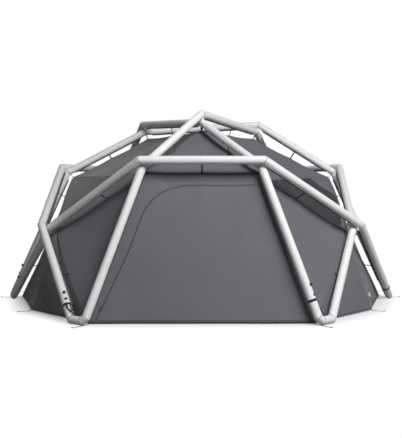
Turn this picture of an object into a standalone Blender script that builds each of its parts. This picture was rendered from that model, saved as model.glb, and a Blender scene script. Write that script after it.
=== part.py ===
"""Inflatable geodesic tent: three woven air loops with a fly hung inside them.

The frame is the upper half of a dome of tubes with its three-fold axis upright. Six arches of five
straight tubes stand on six V-shaped feet, and each pair of arches that shares two feet is one closed air
loop. The fly is a second, smaller dome of flat cut panels, with its ridges under the tubes.

Azimuth is measured from the front (-Y) towards the right (+X). Lengths are in metres.
"""
import math

import bmesh
import bpy
from mathutils import Vector

# Frame: rings of tube crossings round the upright axis
CROWN_RADIUS = 0.584
CROWN_HEIGHT = 1.472
SHOULDER_RADIUS = 1.214
SHOULDER_HEIGHT = 1.099
SHOULDER_SPREAD = math.radians(20.6)
KNEE_RADIUS = 1.374
KNEE_HEIGHT = 0.637
FOOT_RADIUS = 1.658
FOOT_DEPTH = 0.084
DOME_CENTRE_HEIGHT = 0.107

# Tubes: woven sleeve over an airtight bladder
TUBE_DIAMETER = 0.060
SLEEVE_WALL = 0.0008
BLADDER_WALL = 0.0005
TUBE_SIDES = 16
CROSSING_SLACK_SHARE = 1.006
BLADDER_JOIN = 0.010

# Feet, measured along the leg from the point where the two legs would meet
CROWN_BAND_PLACE = 0.272
SIDE_BAND_PLACE = 0.294
FOOT_BEND_CUT = 0.028
BAND_WIDTH = 0.015
BAND_SIDES = 24
WEBBING_THICKNESS = 0.0015
WEBBING_WIDTH = 0.015
STRAP_PAD_RISE = 0.045
STRAP_PAD_LENGTH = 0.026

# Valves on the leg that carries the band
CROWN_VALVE_PLACE = 0.378
SIDE_VALVE_PLACE = 0.393
CROWN_VALVE_TURN = math.radians(30)
SIDE_VALVE_TURN = math.radians(53)
VALVE_STEM_DIAMETER = 0.009
VALVE_BORE_DIAMETER = 0.005
VALVE_STEM_DEPTH = 0.003
VALVE_FLANGE_DIAMETER = 0.022
VALVE_FLANGE_THICKNESS = 0.002
VALVE_NECK_DIAMETER = 0.014
VALVE_NECK_HEIGHT = 0.006
VALVE_SIDES = 24
CAP_DIAMETER = 0.020
CAP_GRIP_DEPTH = 0.0007
CAP_TOP_THICKNESS = 0.0025
CAP_EDGE = 0.0012

# Fly
FLY_DROP = 0.100
FLY_THICKNESS = 0.0008
HEM_CORNER_GAP = 0.125
SKIRT_TUCK_DEPTH = 0.042
HEM_HEIGHT = 0.010
STEEPEST_FOLD = math.radians(52)

# Door in the front panel, closed by a zip along its left side and its top
DOOR_SIDE_MARGIN = 0.080
DOOR_TOP_MARGIN = 0.088
DOOR_FOOT_MARGIN = 0.035
DOOR_WAIST_HEIGHT = 0.500
DOOR_HINGE_MARGIN = 0.020
DOOR_CORNER_RADIUS = 0.350
DOOR_CORNER_STEPS = 10
DOOR_CLEARANCE = 0.0005

# Zip slider on the left side of the door
SLIDER_LENGTH = 0.020
SLIDER_WIDTH = 0.011
SLIDER_HEIGHT = 0.006
SLIDER_ROUNDING = 0.0015
SLIDER_PLACE = 0.110
SLIDER_OFFSET = 0.003
PULL_LENGTH = 0.030
PULL_WIDTH = 0.007
PULL_THICKNESS = 0.0015

# Groundsheet and pegging points
FLOOR_THICKNESS = 0.0012
CORNER_PEG_REACH = 0.046
MIDDLE_PEG_REACH = 0.092
TAB_DEPTH = 0.012
PEG_DIAMETER = 0.005
PEG_HEAD_HEIGHT = 0.012
PEG_HOOK_REACH = 0.012
PEG_HOOK_RISE = 0.003
PEG_SIDES = 8

# Gap kept between pieces that touch
TOUCH = 0.0003
THIRD_TURN = math.radians(120)
TWELFTH = THIRD_TURN / 4
RISE_ROUNDS = 4

TUBE_RADIUS = TUBE_DIAMETER / 2
FACET_SHARE = math.cos(math.pi / TUBE_SIDES)
SLEEVE_BORE = TUBE_RADIUS - SLEEVE_WALL
BLADDER_RADIUS = SLEEVE_BORE * FACET_SHARE - TOUCH
FOOT_AXIS_HEIGHT = WEBBING_THICKNESS + TOUCH + TUBE_RADIUS
HEM_CORNER_RADIUS = FOOT_RADIUS - HEM_CORNER_GAP
HEM_MIDDLE_RADIUS = HEM_CORNER_RADIUS - SKIRT_TUCK_DEPTH
HEM_UNDERSIDE = HEM_HEIGHT - FLY_THICKNESS / 2
CORNER_PEG_RADIUS = FOOT_RADIUS + CORNER_PEG_REACH
MIDDLE_PEG_RADIUS = HEM_MIDDLE_RADIUS + MIDDLE_PEG_REACH
SEAM_INSET = (TOUCH / 2 + FLY_THICKNESS * math.sin(STEEPEST_FOLD / 2)) / math.cos(STEEPEST_FOLD / 2)

UP = Vector((0, 0, 1))
CENTRE = UP * DOME_CENTRE_HEIGHT

COLOURS = {
    "tube_fabric": ((0.78, 0.79, 0.78), 0.55, 0.0),
    "bladder_film": ((0.62, 0.63, 0.60), 0.35, 0.0),
    "fly_fabric": ((0.14, 0.14, 0.155), 0.80, 0.0),
    "floor_fabric": ((0.06, 0.06, 0.065), 0.70, 0.0),
    "webbing": ((0.02, 0.02, 0.022), 0.75, 0.0),
    "valve_plastic": ((0.02, 0.02, 0.02), 0.45, 0.0),
    "peg_and_loop": ((0.16, 0.16, 0.17), 0.50, 0.2),
}


def clear_scene():
    for item in list(bpy.data.objects):
        bpy.data.objects.remove(item, do_unlink=True)


def material(slot):
    """The slot's Principled material, made on first use."""
    found = bpy.data.materials.get(slot)
    if found:
        return found
    colour, roughness, metallic = COLOURS[slot]
    found = bpy.data.materials.new(slot)
    found.use_nodes = True
    shader = found.node_tree.nodes["Principled BSDF"]
    shader.inputs["Base Color"].default_value = (*colour, 1)
    shader.inputs["Roughness"].default_value = roughness
    shader.inputs["Metallic"].default_value = metallic
    found.diffuse_color = (*colour, 1)
    return found


def add_object(name, slot, vertices, faces, smooth_angle=None):
    """One named mesh object with its own copy of the slot's material."""
    mesh = bpy.data.meshes.new(name)
    mesh.from_pydata([tuple(v) for v in vertices], [], faces)
    mesh.validate()
    own = material(slot).copy()
    own.name = name + "_finish"
    mesh.materials.append(own)
    if smooth_angle is not None:
        mesh.shade_smooth()
        mesh.set_sharp_from_angle(angle=smooth_angle)
    item = bpy.data.objects.new(name, mesh)
    bpy.context.scene.collection.objects.link(item)
    return item


def polar(radius, azimuth, height):
    return Vector((radius * math.sin(azimuth), -radius * math.cos(azimuth), height))


def outward(point):
    return (point - CENTRE).normalized()


# Crossings of the frame. Each is a ring's radius, its height and an azimuth.
def crown(azimuth):
    return polar(CROWN_RADIUS, azimuth, CROWN_HEIGHT)


def shoulder(azimuth):
    return polar(SHOULDER_RADIUS, azimuth, SHOULDER_HEIGHT)


def knee(azimuth):
    return polar(KNEE_RADIUS, azimuth, KNEE_HEIGHT)


def foot(azimuth):
    return polar(FOOT_RADIUS, azimuth, -FOOT_DEPTH)


def lifted(point, rise):
    return point + outward(point) * rise


def steep_crossings(turn, rise):
    """An arch over the crown, from its banded leg to its far foot."""
    return [
        lifted(shoulder(turn + SHOULDER_SPREAD), -rise),
        lifted(crown(turn), -rise),
        lifted(crown(turn - THIRD_TURN), rise),
        lifted(shoulder(turn - THIRD_TURN - SHOULDER_SPREAD), -rise),
    ]


def low_crossings(turn, rise):
    """An arch round the side, from its banded leg to its far foot."""
    return [
        lifted(knee(turn - 2 * TWELFTH), rise),
        lifted(shoulder(turn - THIRD_TURN + SHOULDER_SPREAD), rise),
        lifted(shoulder(turn - THIRD_TURN - SHOULDER_SPREAD), rise),
        lifted(knee(turn + math.pi), -rise),
    ]


def bends(path):
    return [(b - a).angle(c - b) for a, b, c in zip(path, path[1:], path[2:])]


def crossing_rise():
    """How far each tube of a crossing stands from its point, so that the two mitred corners clear."""
    rise = TUBE_RADIUS
    for _ in range(RISE_ROUNDS):
        steep = bends([foot(TWELFTH), *steep_crossings(0, rise), foot(-5 * TWELFTH)])
        low = bends([foot(-TWELFTH), *low_crossings(0, rise), foot(5 * TWELFTH)])
        pairs = [(steep[0], low[1]), (steep[3], low[2]), (steep[1], steep[2]), (low[0], low[3])]
        share = min(math.cos(one / 2) * math.cos(other / 2) for one, other in pairs)
        rise = TUBE_RADIUS / share * CROSSING_SLACK_SHARE + TOUCH / 2
    return rise


RISE = crossing_rise()


def along_leg(vee, crossing, distance):
    return vee + (crossing - vee).normalized() * distance


def leg_at_height(vee, crossing, height):
    return vee + (crossing - vee) * ((height - vee.z) / (crossing.z - vee.z))


def eased(before, corner, after):
    """The two ends of the short tube that cuts off a corner."""
    return [corner + (end - corner).normalized() * FOOT_BEND_CUT for end in (before, after)]


class Arch:
    """A sleeve's centreline: its own banded leg, its crossings, its far foot and the stub beyond it."""

    def __init__(self, crossings, start_foot, far_foot, stub_crossing, over_crown):
        band_place, far_band_place = CROWN_BAND_PLACE, SIDE_BAND_PLACE
        valve_place, valve_turn = CROWN_VALVE_PLACE, CROWN_VALVE_TURN
        if not over_crown:
            band_place, far_band_place = SIDE_BAND_PLACE, CROWN_BAND_PLACE
            valve_place, valve_turn = SIDE_VALVE_PLACE, SIDE_VALVE_TURN
        self.start_vee = foot(start_foot)
        self.start_azimuth = start_foot
        self.crossings = crossings
        far_vee = foot(far_foot)
        self.band = along_leg(self.start_vee, crossings[0], band_place)
        self.far_band = along_leg(far_vee, stub_crossing, far_band_place)
        leg_end = leg_at_height(far_vee, crossings[-1], FOOT_AXIS_HEIGHT)
        stub_end = leg_at_height(far_vee, stub_crossing, FOOT_AXIS_HEIGHT)
        if over_crown:
            ground = [*eased(crossings[-1], leg_end, stub_end), stub_end]
        else:
            ground = [leg_end, *eased(leg_end, stub_end, stub_crossing)]
        self.path = [self.band, *crossings, *ground, self.far_band]
        self.leg = (crossings[0] - self.start_vee).normalized()
        self.valve = self.start_vee + self.leg * valve_place
        facing = polar(1, start_foot + valve_turn, 0)
        self.facing = (facing - self.leg * facing.dot(self.leg)).normalized()

    def shortened(self, trim):
        """The path with both ends drawn back, and a ring at each side of the valve's hole."""
        path = list(self.path)
        path[0] = path[0] + (path[1] - path[0]).normalized() * trim
        path[-1] = path[-1] + (path[-2] - path[-1]).normalized() * trim
        hole = VALVE_STEM_DIAMETER / 2 + TOUCH
        path[1:1] = [self.valve - self.leg * hole, self.valve + self.leg * hole]
        return path


def steep_arch(index):
    turn = THIRD_TURN * index
    far_knee = lifted(knee(turn - math.pi), RISE)
    return Arch(steep_crossings(turn, RISE), turn + TWELFTH, turn - 5 * TWELFTH, far_knee, True)


def low_arch(index):
    turn = THIRD_TURN * index
    far_shoulder = lifted(shoulder(turn + THIRD_TURN + SHOULDER_SPREAD), -RISE)
    return Arch(low_crossings(turn, RISE), turn - TWELFTH, turn + 5 * TWELFTH, far_shoulder, False)


def mitred_rings(path, facing, radius, sides):
    """Rings of a straight-sided tube along the path, mitred at each corner, with a facet facing one way."""
    rings = []
    first = (path[1] - path[0]).normalized()
    side = first.cross(facing)
    ring = []
    for corner in range(sides):
        angle = (corner - 0.5) * 2 * math.pi / sides
        ring.append(path[0] + (facing * math.cos(angle) + side * math.sin(angle)) * radius)
    rings.append(ring)
    for place in range(1, len(path)):
        before = (path[place] - path[place - 1]).normalized()
        if place + 1 < len(path):
            after = (path[place + 1] - path[place]).normalized()
            plane = (before + after).normalized()
        else:
            plane = before
        ring = [v + before * ((path[place] - v).dot(plane) / before.dot(plane)) for v in rings[-1]]
        rings.append(ring)
    return rings


def wall_between(outer, inner, closed, shifts, holes):
    """Faces of a tube wall between outer and inner rings, open at the ends or closed into a loop.

    A shift turns the next ring's numbering, and a hole is the span whose first facet is left out."""
    count = len(outer)
    sides = len(outer[0])
    vertices = [v for ring in outer for v in ring] + [v for ring in inner for v in ring]
    skin = count * sides

    def corner(ring, number, layer):
        return layer * skin + ring * sides + number % sides

    faces = []
    for ring in range(count if closed else count - 1):
        following = (ring + 1) % count
        turn = shifts.get(ring, 0)
        for number in range(sides):
            a, b = number, number + 1
            quad = [(ring, a), (ring, b), (following, b + turn), (following, a + turn)]
            if ring in holes and number == 0:
                for one, other in zip(quad, quad[1:] + quad[:1]):
                    faces.append((corner(*one, 0), corner(*other, 0), corner(*other, 1), corner(*one, 1)))
                continue
            faces.append(tuple(corner(r, n, 0) for r, n in quad))
            faces.append(tuple(corner(r, n, 1) for r, n in reversed(quad)))
    if not closed:
        last = count - 1
        for number in range(sides):
            a, b = number, number + 1
            faces.append((corner(0, b, 0), corner(0, a, 0), corner(0, a, 1), corner(0, b, 1)))
            faces.append((corner(last, a, 0), corner(last, b, 0), corner(last, b, 1), corner(last, a, 1)))
    return vertices, faces


def add_sleeve(name, arch):
    path = arch.shortened(TOUCH / 2)
    outer = mitred_rings(path, arch.facing, TUBE_RADIUS, TUBE_SIDES)
    inner = mitred_rings(path, arch.facing, SLEEVE_BORE, TUBE_SIDES)
    vertices, faces = wall_between(outer, inner, False, {}, {1})
    return add_object(name, "tube_fabric", vertices, faces, math.radians(30))


def add_bladder(name, first, second):
    """The airtight loop inside two sleeves, with a hole for each valve's stem."""
    outer, inner = [], []
    shifts, holes = {}, set()
    for arch in (first, second):
        holes.add(len(outer) + 1)
        path = arch.shortened(BLADDER_JOIN)
        outer += mitred_rings(path, arch.facing, BLADDER_RADIUS, TUBE_SIDES)
        inner += mitred_rings(path, arch.facing, BLADDER_RADIUS - BLADDER_WALL, TUBE_SIDES)
    half = len(outer) // 2
    for last, following in ((half - 1, half), (len(outer) - 1, 0)):
        gaps = [(outer[last][0] - v).length for v in outer[following]]
        shifts[last] = gaps.index(min(gaps))
    vertices, faces = wall_between(outer, inner, True, shifts, holes)
    return add_object(name, "bladder_film", vertices, faces, math.radians(30))


def turned(profile, sides, centre, axis, facing):
    """A ring of faces turned from a closed profile of radii and heights. A radius may be a pair, which
    alternates round the piece as grip ribs."""
    side = axis.cross(facing)
    vertices = []
    for number in range(sides):
        angle = number * 2 * math.pi / sides
        spoke = facing * math.cos(angle) + side * math.sin(angle)
        for radius, height in profile:
            size = radius[number % 2] if isinstance(radius, tuple) else radius
            vertices.append(centre + spoke * size + axis * height)
    faces = []
    rows = len(profile)
    for number in range(sides):
        for row in range(rows):
            a = number * rows + row
            b = number * rows + (row + 1) % rows
            c = (number + 1) % sides * rows + (row + 1) % rows
            d = (number + 1) % sides * rows + row
            faces.append((a, d, c, b))
    return vertices, faces


def capped(vertices, faces, row, rows, sides, centre, flip):
    """Closes a turned piece's end with a fan from a point on its axis."""
    vertices.append(centre)
    tip = len(vertices) - 1
    for number in range(sides):
        a = number * rows + row
        b = (number + 1) % sides * rows + row
        faces.append((a, tip, b) if flip else (a, b, tip))


def add_valve(number, arch):
    """A flanged valve whose stem goes through the sleeve and the bladder, and its screw cap."""
    axis, facing = arch.facing, arch.leg
    skin = TUBE_RADIUS * FACET_SHARE
    seat = arch.valve + axis * (skin + TOUCH)
    stem = -(skin - BLADDER_RADIUS * FACET_SHARE + BLADDER_WALL + TOUCH + VALVE_STEM_DEPTH)
    bore = VALVE_BORE_DIAMETER / 2
    profile = [
        (bore, stem),
        (VALVE_STEM_DIAMETER / 2, stem),
        (VALVE_STEM_DIAMETER / 2, 0),
        (VALVE_FLANGE_DIAMETER / 2, 0),
        (VALVE_FLANGE_DIAMETER / 2, VALVE_FLANGE_THICKNESS),
        (VALVE_NECK_DIAMETER / 2, VALVE_FLANGE_THICKNESS),
        (VALVE_NECK_DIAMETER / 2, VALVE_FLANGE_THICKNESS + VALVE_NECK_HEIGHT),
        (bore, VALVE_FLANGE_THICKNESS + VALVE_NECK_HEIGHT),
    ]
    vertices, faces = turned(profile, VALVE_SIDES, seat, axis, facing)
    add_object(f"valve_{number}", "valve_plastic", vertices, faces, math.radians(40))

    low = VALVE_FLANGE_THICKNESS + TOUCH
    roof = VALVE_FLANGE_THICKNESS + VALVE_NECK_HEIGHT + TOUCH
    top = roof + CAP_TOP_THICKNESS
    grip = (CAP_DIAMETER / 2, CAP_DIAMETER / 2 - CAP_GRIP_DEPTH)
    inside = VALVE_NECK_DIAMETER / 2 + TOUCH
    profile = [
        (grip, low),
        (grip, top - CAP_EDGE),
        (grip[1] - CAP_EDGE, top),
        (inside, roof),
        (inside, low),
    ]
    vertices, faces = turned(profile, VALVE_SIDES, seat, axis, facing)
    rows = len(profile)
    joint = [f for f in faces if {f[0] % rows, f[2] % rows} == {2, 3}]
    faces = [f for f in faces if f not in joint]
    capped(vertices, faces, 2, rows, VALVE_SIDES, seat + axis * top, False)
    capped(vertices, faces, 3, rows, VALVE_SIDES, seat + axis * roof, True)
    add_object(f"valve_cap_{number}", "valve_plastic", vertices, faces, math.radians(40))


def box_between(start, end, width_way, width, thickness):
    """Vertices and faces of a flat strip from start to end."""
    way = (end - start).normalized()
    across = (width_way - way * width_way.dot(way)).normalized()
    up = way.cross(across)
    vertices = []
    for place in (start, end):
        for a, b in ((-1, -1), (1, -1), (1, 1), (-1, 1)):
            vertices.append(place + across * (a * width / 2) + up * (b * thickness / 2))
    faces = [(3, 2, 1, 0), (4, 5, 6, 7), (0, 1, 5, 4), (1, 2, 6, 5), (2, 3, 7, 6), (3, 0, 4, 7)]
    return vertices, faces


def strip(stations, way):
    """A straight piece of webbing through stations of a point and the direction of its width."""
    vertices = []
    for point, across in stations:
        across = (across - way * way.dot(across)).normalized() * WEBBING_WIDTH / 2
        up = way.cross(across).normalized() * WEBBING_THICKNESS / 2
        vertices += [point - across - up, point + across - up, point + across + up, point - across + up]
    faces = [(3, 2, 1, 0), (4, 5, 6, 7), (0, 1, 5, 4), (1, 2, 6, 5), (2, 3, 7, 6), (3, 0, 4, 7)]
    return vertices, faces


def fuse(item, tool):
    """Joins the tool's solid to the item's and removes the tool."""
    step = item.modifiers.new("join", "BOOLEAN")
    step.operation = "UNION"
    step.solver = "EXACT"
    step.object = tool
    shape = bpy.data.meshes.new_from_object(item.evaluated_get(bpy.context.evaluated_depsgraph_get()))
    item.modifiers.clear()
    item.data = shape
    bpy.data.objects.remove(tool, do_unlink=True)
    return item


# Corners of the fly: the frame's crossings drawn in towards the dome's centre, and the hem.
def drawn_in(point):
    return point - outward(point) * FLY_DROP


def fly_crown(azimuth):
    return drawn_in(crown(azimuth))


def fly_shoulder(azimuth):
    return drawn_in(shoulder(azimuth))


def fly_knee(azimuth):
    return drawn_in(knee(azimuth))


def hem_corner(azimuth):
    return polar(HEM_CORNER_RADIUS, azimuth, HEM_HEIGHT)


def hem_middle(azimuth):
    return polar(HEM_MIDDLE_RADIUS, azimuth, HEM_HEIGHT)


def normal_of(points):
    total = Vector((0, 0, 0))
    for a, b in zip(points, points[1:] + points[:1]):
        total += (a - points[0]).cross(b - points[0])
    return total.normalized()


def inset(points, margins):
    """The flat outline drawn in by its own margin at each edge. Margin i is for the edge after point i."""
    normal = normal_of(points)
    result = []
    count = len(points)
    for i, point in enumerate(points):
        before = normal.cross((point - points[i - 1]).normalized())
        after = normal.cross((points[(i + 1) % count] - point).normalized())
        lap = before.dot(after)
        d0, d1 = margins[i - 1], margins[i]
        a = (d0 - lap * d1) / (1 - lap * lap)
        b = (d1 - lap * d0) / (1 - lap * lap)
        result.append(point + before * a + after * b)
    return result


def add_sheet(name, slot, vertices, faces, thickness):
    """A sheet given its thickness inwards."""
    item = add_object(name, slot, vertices, faces)
    solid = item.modifiers.new("thickness", "SOLIDIFY")
    solid.thickness = thickness
    solid.offset = -1
    solid.use_even_offset = True
    return item


def add_panel(name, points, hem_edges=0):
    """A flat fly panel. The first hem_edges edges are its hem and keep their place."""
    margins = [0] * hem_edges + [SEAM_INSET] * (len(points) - hem_edges)
    assert normal_of(points).dot(points[0] - CENTRE) > 0
    outline = inset(points, margins)
    return add_sheet(name, "fly_fabric", outline, [tuple(range(len(outline)))], FLY_THICKNESS)


def add_folded_panel(name, first, second, first_hem=0, second_hem=0):
    """A fly panel folded along one line: the last edge of the first outline and of the second."""
    outlines = []
    for points, hems in ((first, first_hem), (second, second_hem)):
        margins = [SEAM_INSET] * (len(points) - 1) + [0]
        for edge in range(hems):
            margins[edge] = 0
        outlines.append(inset(points, margins))
    one, two = outlines
    start = max((one[0], two[-1]), key=lambda v: (v - first[0]).length)
    end = max((one[-1], two[0]), key=lambda v: (v - first[-1]).length)
    vertices = [start, *one[1:-1], end, *two[1:-1]]
    split = len(one)
    faces = [tuple(range(split)), (split - 1, *range(split, len(vertices)), 0)]
    return add_sheet(name, "fly_fabric", vertices, faces, FLY_THICKNESS)


class FrontPanel:
    """The front panel's plane, with the door's outline on it as (across, up) pairs."""

    def __init__(self):
        left, right = hem_corner(-TWELFTH), hem_corner(TWELFTH)
        self.corners = [left, right, fly_shoulder(SHOULDER_SPREAD), fly_shoulder(-SHOULDER_SPREAD)]
        self.origin = (left + right) / 2
        self.across = (right - left).normalized()
        self.up = ((self.corners[2] + self.corners[3]) / 2 - self.origin).normalized()
        self.normal = self.across.cross(self.up)
        self.height = (self.corners[2] - self.origin).dot(self.up)
        self.half_hem = (right - self.origin).length
        self.half_top = (self.corners[2] - self.origin).dot(self.across)
        self.lean = (self.half_hem - self.half_top) / self.height
        self.side_share = 1 / math.sqrt(1 + self.lean ** 2)

    def place(self, across, up, proud=0):
        return self.origin + self.across * across + self.up * up + self.normal * proud

    def left_edge(self, up, margin):
        return -self.half_hem + self.lean * up + margin / self.side_share

    def outline(self, gap):
        """The opening's outline drawn in by a gap, from the hem at the left round to the hinge's foot."""
        top = self.height - DOOR_TOP_MARGIN - gap
        side = DOOR_SIDE_MARGIN + gap
        corner = Vector((self.left_edge(top, side), top))
        waist = Vector((self.left_edge(DOOR_WAIST_HEIGHT, side), DOOR_WAIST_HEIGHT))
        rise = (corner - waist).normalized()
        turn = rise.angle(Vector((1, 0)))
        radius = DOOR_CORNER_RADIUS - gap
        tangent = radius * math.tan(turn / 2)
        centre = corner - rise * tangent + Vector((rise.y, -rise.x)) * radius
        points = [Vector((self.left_edge(0, DOOR_FOOT_MARGIN + gap), 0)), waist]
        for step in range(DOOR_CORNER_STEPS + 1):
            angle = math.pi / 2 + turn * (1 - step / DOOR_CORNER_STEPS)
            points.append(centre + Vector((math.cos(angle), math.sin(angle))) * radius)
        hinge = DOOR_HINGE_MARGIN + gap
        points.append(Vector((-self.left_edge(top, hinge), top)))
        points.append(Vector((-self.left_edge(0, hinge), 0)))
        return points

    def add_surround(self):
        frame = inset(self.corners, [0, SEAM_INSET, SEAM_INSET, SEAM_INSET])
        opening = [self.place(p.x, p.y) for p in self.outline(0)]
        vertices = [frame[0], *opening, frame[1], frame[2], frame[3]]
        return add_sheet("front_door_surround", "fly_fabric", vertices, [tuple(range(len(vertices)))],
                         FLY_THICKNESS)

    def add_door(self):
        """The door, with its origin on its hinge line. Its slit beside the hinge is one clearance wide."""
        points = [self.place(p.x, p.y) for p in self.outline(DOOR_CLEARANCE)]
        hinge_foot = points[-1]
        item = add_sheet("door_flap", "fly_fabric", [p - hinge_foot for p in points],
                         [tuple(range(len(points)))[::-1]], FLY_THICKNESS)
        item.location = hinge_foot
        return item

    def hinge(self):
        line = self.outline(DOOR_CLEARANCE)
        return self.place(*line[-1]), self.place(*line[-2])

    def slider_line(self):
        """Where the slider stands on the left side of the zip, and the way it runs."""
        foot_point, waist = self.outline(0)[:2]
        way = (waist - foot_point).normalized()
        aside = Vector((-way.y, way.x)) * (SLIDER_WIDTH / 2 + SLIDER_OFFSET)
        at = foot_point + way * SLIDER_PLACE + aside
        end = foot_point + way * ((waist - foot_point).length - SLIDER_LENGTH / 2) + aside
        return self.place(*at), self.place(*end)

    def add_slider(self):
        start, end = self.slider_line()
        way = (end - start).normalized()
        across = way.cross(self.normal)
        middle = start + self.normal * (TOUCH + SLIDER_HEIGHT / 2)
        vertices, faces = box_between(middle - way * SLIDER_LENGTH / 2, middle + way * SLIDER_LENGTH / 2,
                                      across, SLIDER_WIDTH, SLIDER_HEIGHT)
        item = add_object("zip_slider", "valve_plastic", vertices, faces)
        bevel(item, SLIDER_ROUNDING)
        top = middle + self.normal * (SLIDER_HEIGHT / 2 - PULL_THICKNESS)
        vertices, faces = box_between(top, top - way * PULL_LENGTH, across, PULL_WIDTH, PULL_THICKNESS)
        return fuse(item, add_object("pull_tool", "valve_plastic", vertices, faces))


def bevel(item, width):
    shape = bmesh.new()
    shape.from_mesh(item.data)
    bmesh.ops.bevel(shape, geom=shape.edges[:] + shape.verts[:], offset=width, segments=2,
                    affect="EDGES", profile=0.5)
    shape.to_mesh(item.data)
    shape.free()


def add_corner_strap(number, arch, knee_crossing, shoulder_crossing):
    """A band round the leg with a webbing tail down to the fly's corner."""
    centre, leg = arch.band, arch.leg
    corner = hem_corner(arch.start_azimuth)
    up_shoulder = (shoulder_crossing - corner).normalized()
    up_knee = (knee_crossing - corner).normalized()
    rise = (up_shoulder + up_knee).normalized()
    normal = up_knee.cross(up_shoulder)
    normal = normal.normalized() * math.copysign(1, normal.dot(corner - CENTRE))
    pad = corner + rise * STRAP_PAD_RISE + normal * (TOUCH + WEBBING_THICKNESS / 2)

    bore = (TUBE_RADIUS + TOUCH) / math.cos(math.pi / BAND_SIDES)
    rim = bore + WEBBING_THICKNESS
    toward = pad - centre
    toward = (toward - leg * toward.dot(leg)).normalized()
    half = BAND_WIDTH / 2
    profile = [(bore, -half), (rim, -half), (rim, half), (bore, half)]
    vertices, faces = turned(profile, BAND_SIDES, centre, leg, toward)
    item = add_object(f"corner_strap_{number}", "webbing", vertices, faces, math.radians(40))

    start = centre + toward * (rim - WEBBING_THICKNESS / 2)
    way = (pad - start).normalized()
    reach = rise * STRAP_PAD_LENGTH / 2
    vertices, faces = strip([(start, leg.cross(toward)), (pad, way.cross(normal))], way)
    fuse(item, add_object("tail_tool", "webbing", vertices, faces))
    across = rise.cross(normal)
    vertices, faces = strip([(pad - reach, across), (pad + reach, across)], rise)
    return fuse(item, add_object("pad_tool", "webbing", vertices, faces))


def add_peg(name, azimuth, hem_radius, peg_radius):
    """A webbing tab under the hem's corner, its strip along the ground and the peg at its end."""
    way = polar(1, azimuth, 0)
    side = UP.cross(way) * WEBBING_WIDTH / 2
    inner, outer = hem_radius - TAB_DEPTH / 2, peg_radius + WEBBING_WIDTH / 2
    profile = [
        (inner, 0),
        (outer, 0),
        (outer, WEBBING_THICKNESS),
        (inner + TAB_DEPTH, WEBBING_THICKNESS),
        (inner + TAB_DEPTH, HEM_UNDERSIDE - TOUCH),
        (inner, HEM_UNDERSIDE - TOUCH),
    ]
    count = len(profile)
    vertices = [way * out + UP * height + edge for edge in (-side, side) for out, height in profile]
    faces = [tuple(range(count)), tuple(range(count, 2 * count))[::-1]]
    for i in range(count):
        j = (i + 1) % count
        faces.append((j, i, i + count, j + count))
    item = add_object(name, "peg_and_loop", vertices, faces)

    at = way * peg_radius
    path = [
        at + UP * WEBBING_THICKNESS / 2,
        at + UP * PEG_HEAD_HEIGHT,
        at + way * PEG_HOOK_REACH / 2 + UP * (PEG_HEAD_HEIGHT + PEG_HOOK_RISE),
        at + way * PEG_HOOK_REACH + UP * PEG_HEAD_HEIGHT,
    ]
    rings = mitred_rings(path, way, PEG_DIAMETER / 2, PEG_SIDES)
    vertices = [v for ring in rings for v in ring]
    faces = [tuple(range(PEG_SIDES))[::-1], tuple(range(len(vertices) - PEG_SIDES, len(vertices)))]
    for ring in range(len(rings) - 1):
        for corner in range(PEG_SIDES):
            a = ring * PEG_SIDES + corner
            b = ring * PEG_SIDES + (corner + 1) % PEG_SIDES
            faces.append((a, b, b + PEG_SIDES, a + PEG_SIDES))
    return fuse(item, add_object("peg_tool", "peg_and_loop", vertices, faces))


def add_floor():
    """The groundsheet, whose corners meet the tabs under the hem."""
    reach = TAB_DEPTH / 2 + TOUCH
    points = []
    for index in range(3):
        turn = THIRD_TURN * index
        points.append(polar(HEM_CORNER_RADIUS - reach, turn - TWELFTH, 0))
        points.append(polar(HEM_CORNER_RADIUS - reach, turn + TWELFTH, 0))
        points.append(polar(HEM_MIDDLE_RADIUS - reach, turn + 2 * TWELFTH, 0))
    count = len(points)
    vertices = points + [p + UP * FLOOR_THICKNESS for p in points]
    faces = [tuple(range(count))[::-1], tuple(range(count, 2 * count))]
    for i in range(count):
        j = (i + 1) % count
        faces.append((i, j, j + count, i + count))
    return add_object("groundsheet", "floor_fabric", vertices, faces)


def add_fly():
    """All panels of the fly. Each third has a gable, a roof, a wall, two flanks and a skirt."""
    add_panel("top_panel", [fly_crown(THIRD_TURN * i) for i in range(3)])
    for index, side in enumerate(("front", "right", "left")):
        turn = THIRD_TURN * index
        left, right = fly_shoulder(turn - SHOULDER_SPREAD), fly_shoulder(turn + SHOULDER_SPREAD)
        add_panel(f"gable_panel_{side}", [left, right, fly_crown(turn)])
        if index:
            outline = [hem_corner(turn - TWELFTH), hem_corner(turn + TWELFTH), right, left]
            add_panel(f"wall_panel_{side}", outline, 1)
    for index, side in enumerate(("right", "rear", "left")):
        turn = THIRD_TURN * index
        middle = turn + 2 * TWELFTH
        near_shoulder = fly_shoulder(turn + SHOULDER_SPREAD)
        far_shoulder = fly_shoulder(turn + THIRD_TURN - SHOULDER_SPREAD)
        near_foot, far_foot = hem_corner(turn + TWELFTH), hem_corner(turn + 3 * TWELFTH)
        bend = fly_knee(middle)
        add_folded_panel(
            f"roof_panel_{side}",
            [far_shoulder, fly_crown(turn + THIRD_TURN), fly_crown(turn), near_shoulder],
            [near_shoulder, bend, far_shoulder],
        )
        add_folded_panel(
            f"skirt_panel_{side}",
            [hem_middle(middle), far_foot, bend],
            [bend, near_foot, hem_middle(middle)],
            first_hem=1,
            second_hem=0,
        )
        add_panel(f"flank_panel_{side}_near", [near_foot, bend, near_shoulder])
        add_panel(f"flank_panel_{side}_far", [far_foot, far_shoulder, bend])


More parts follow.
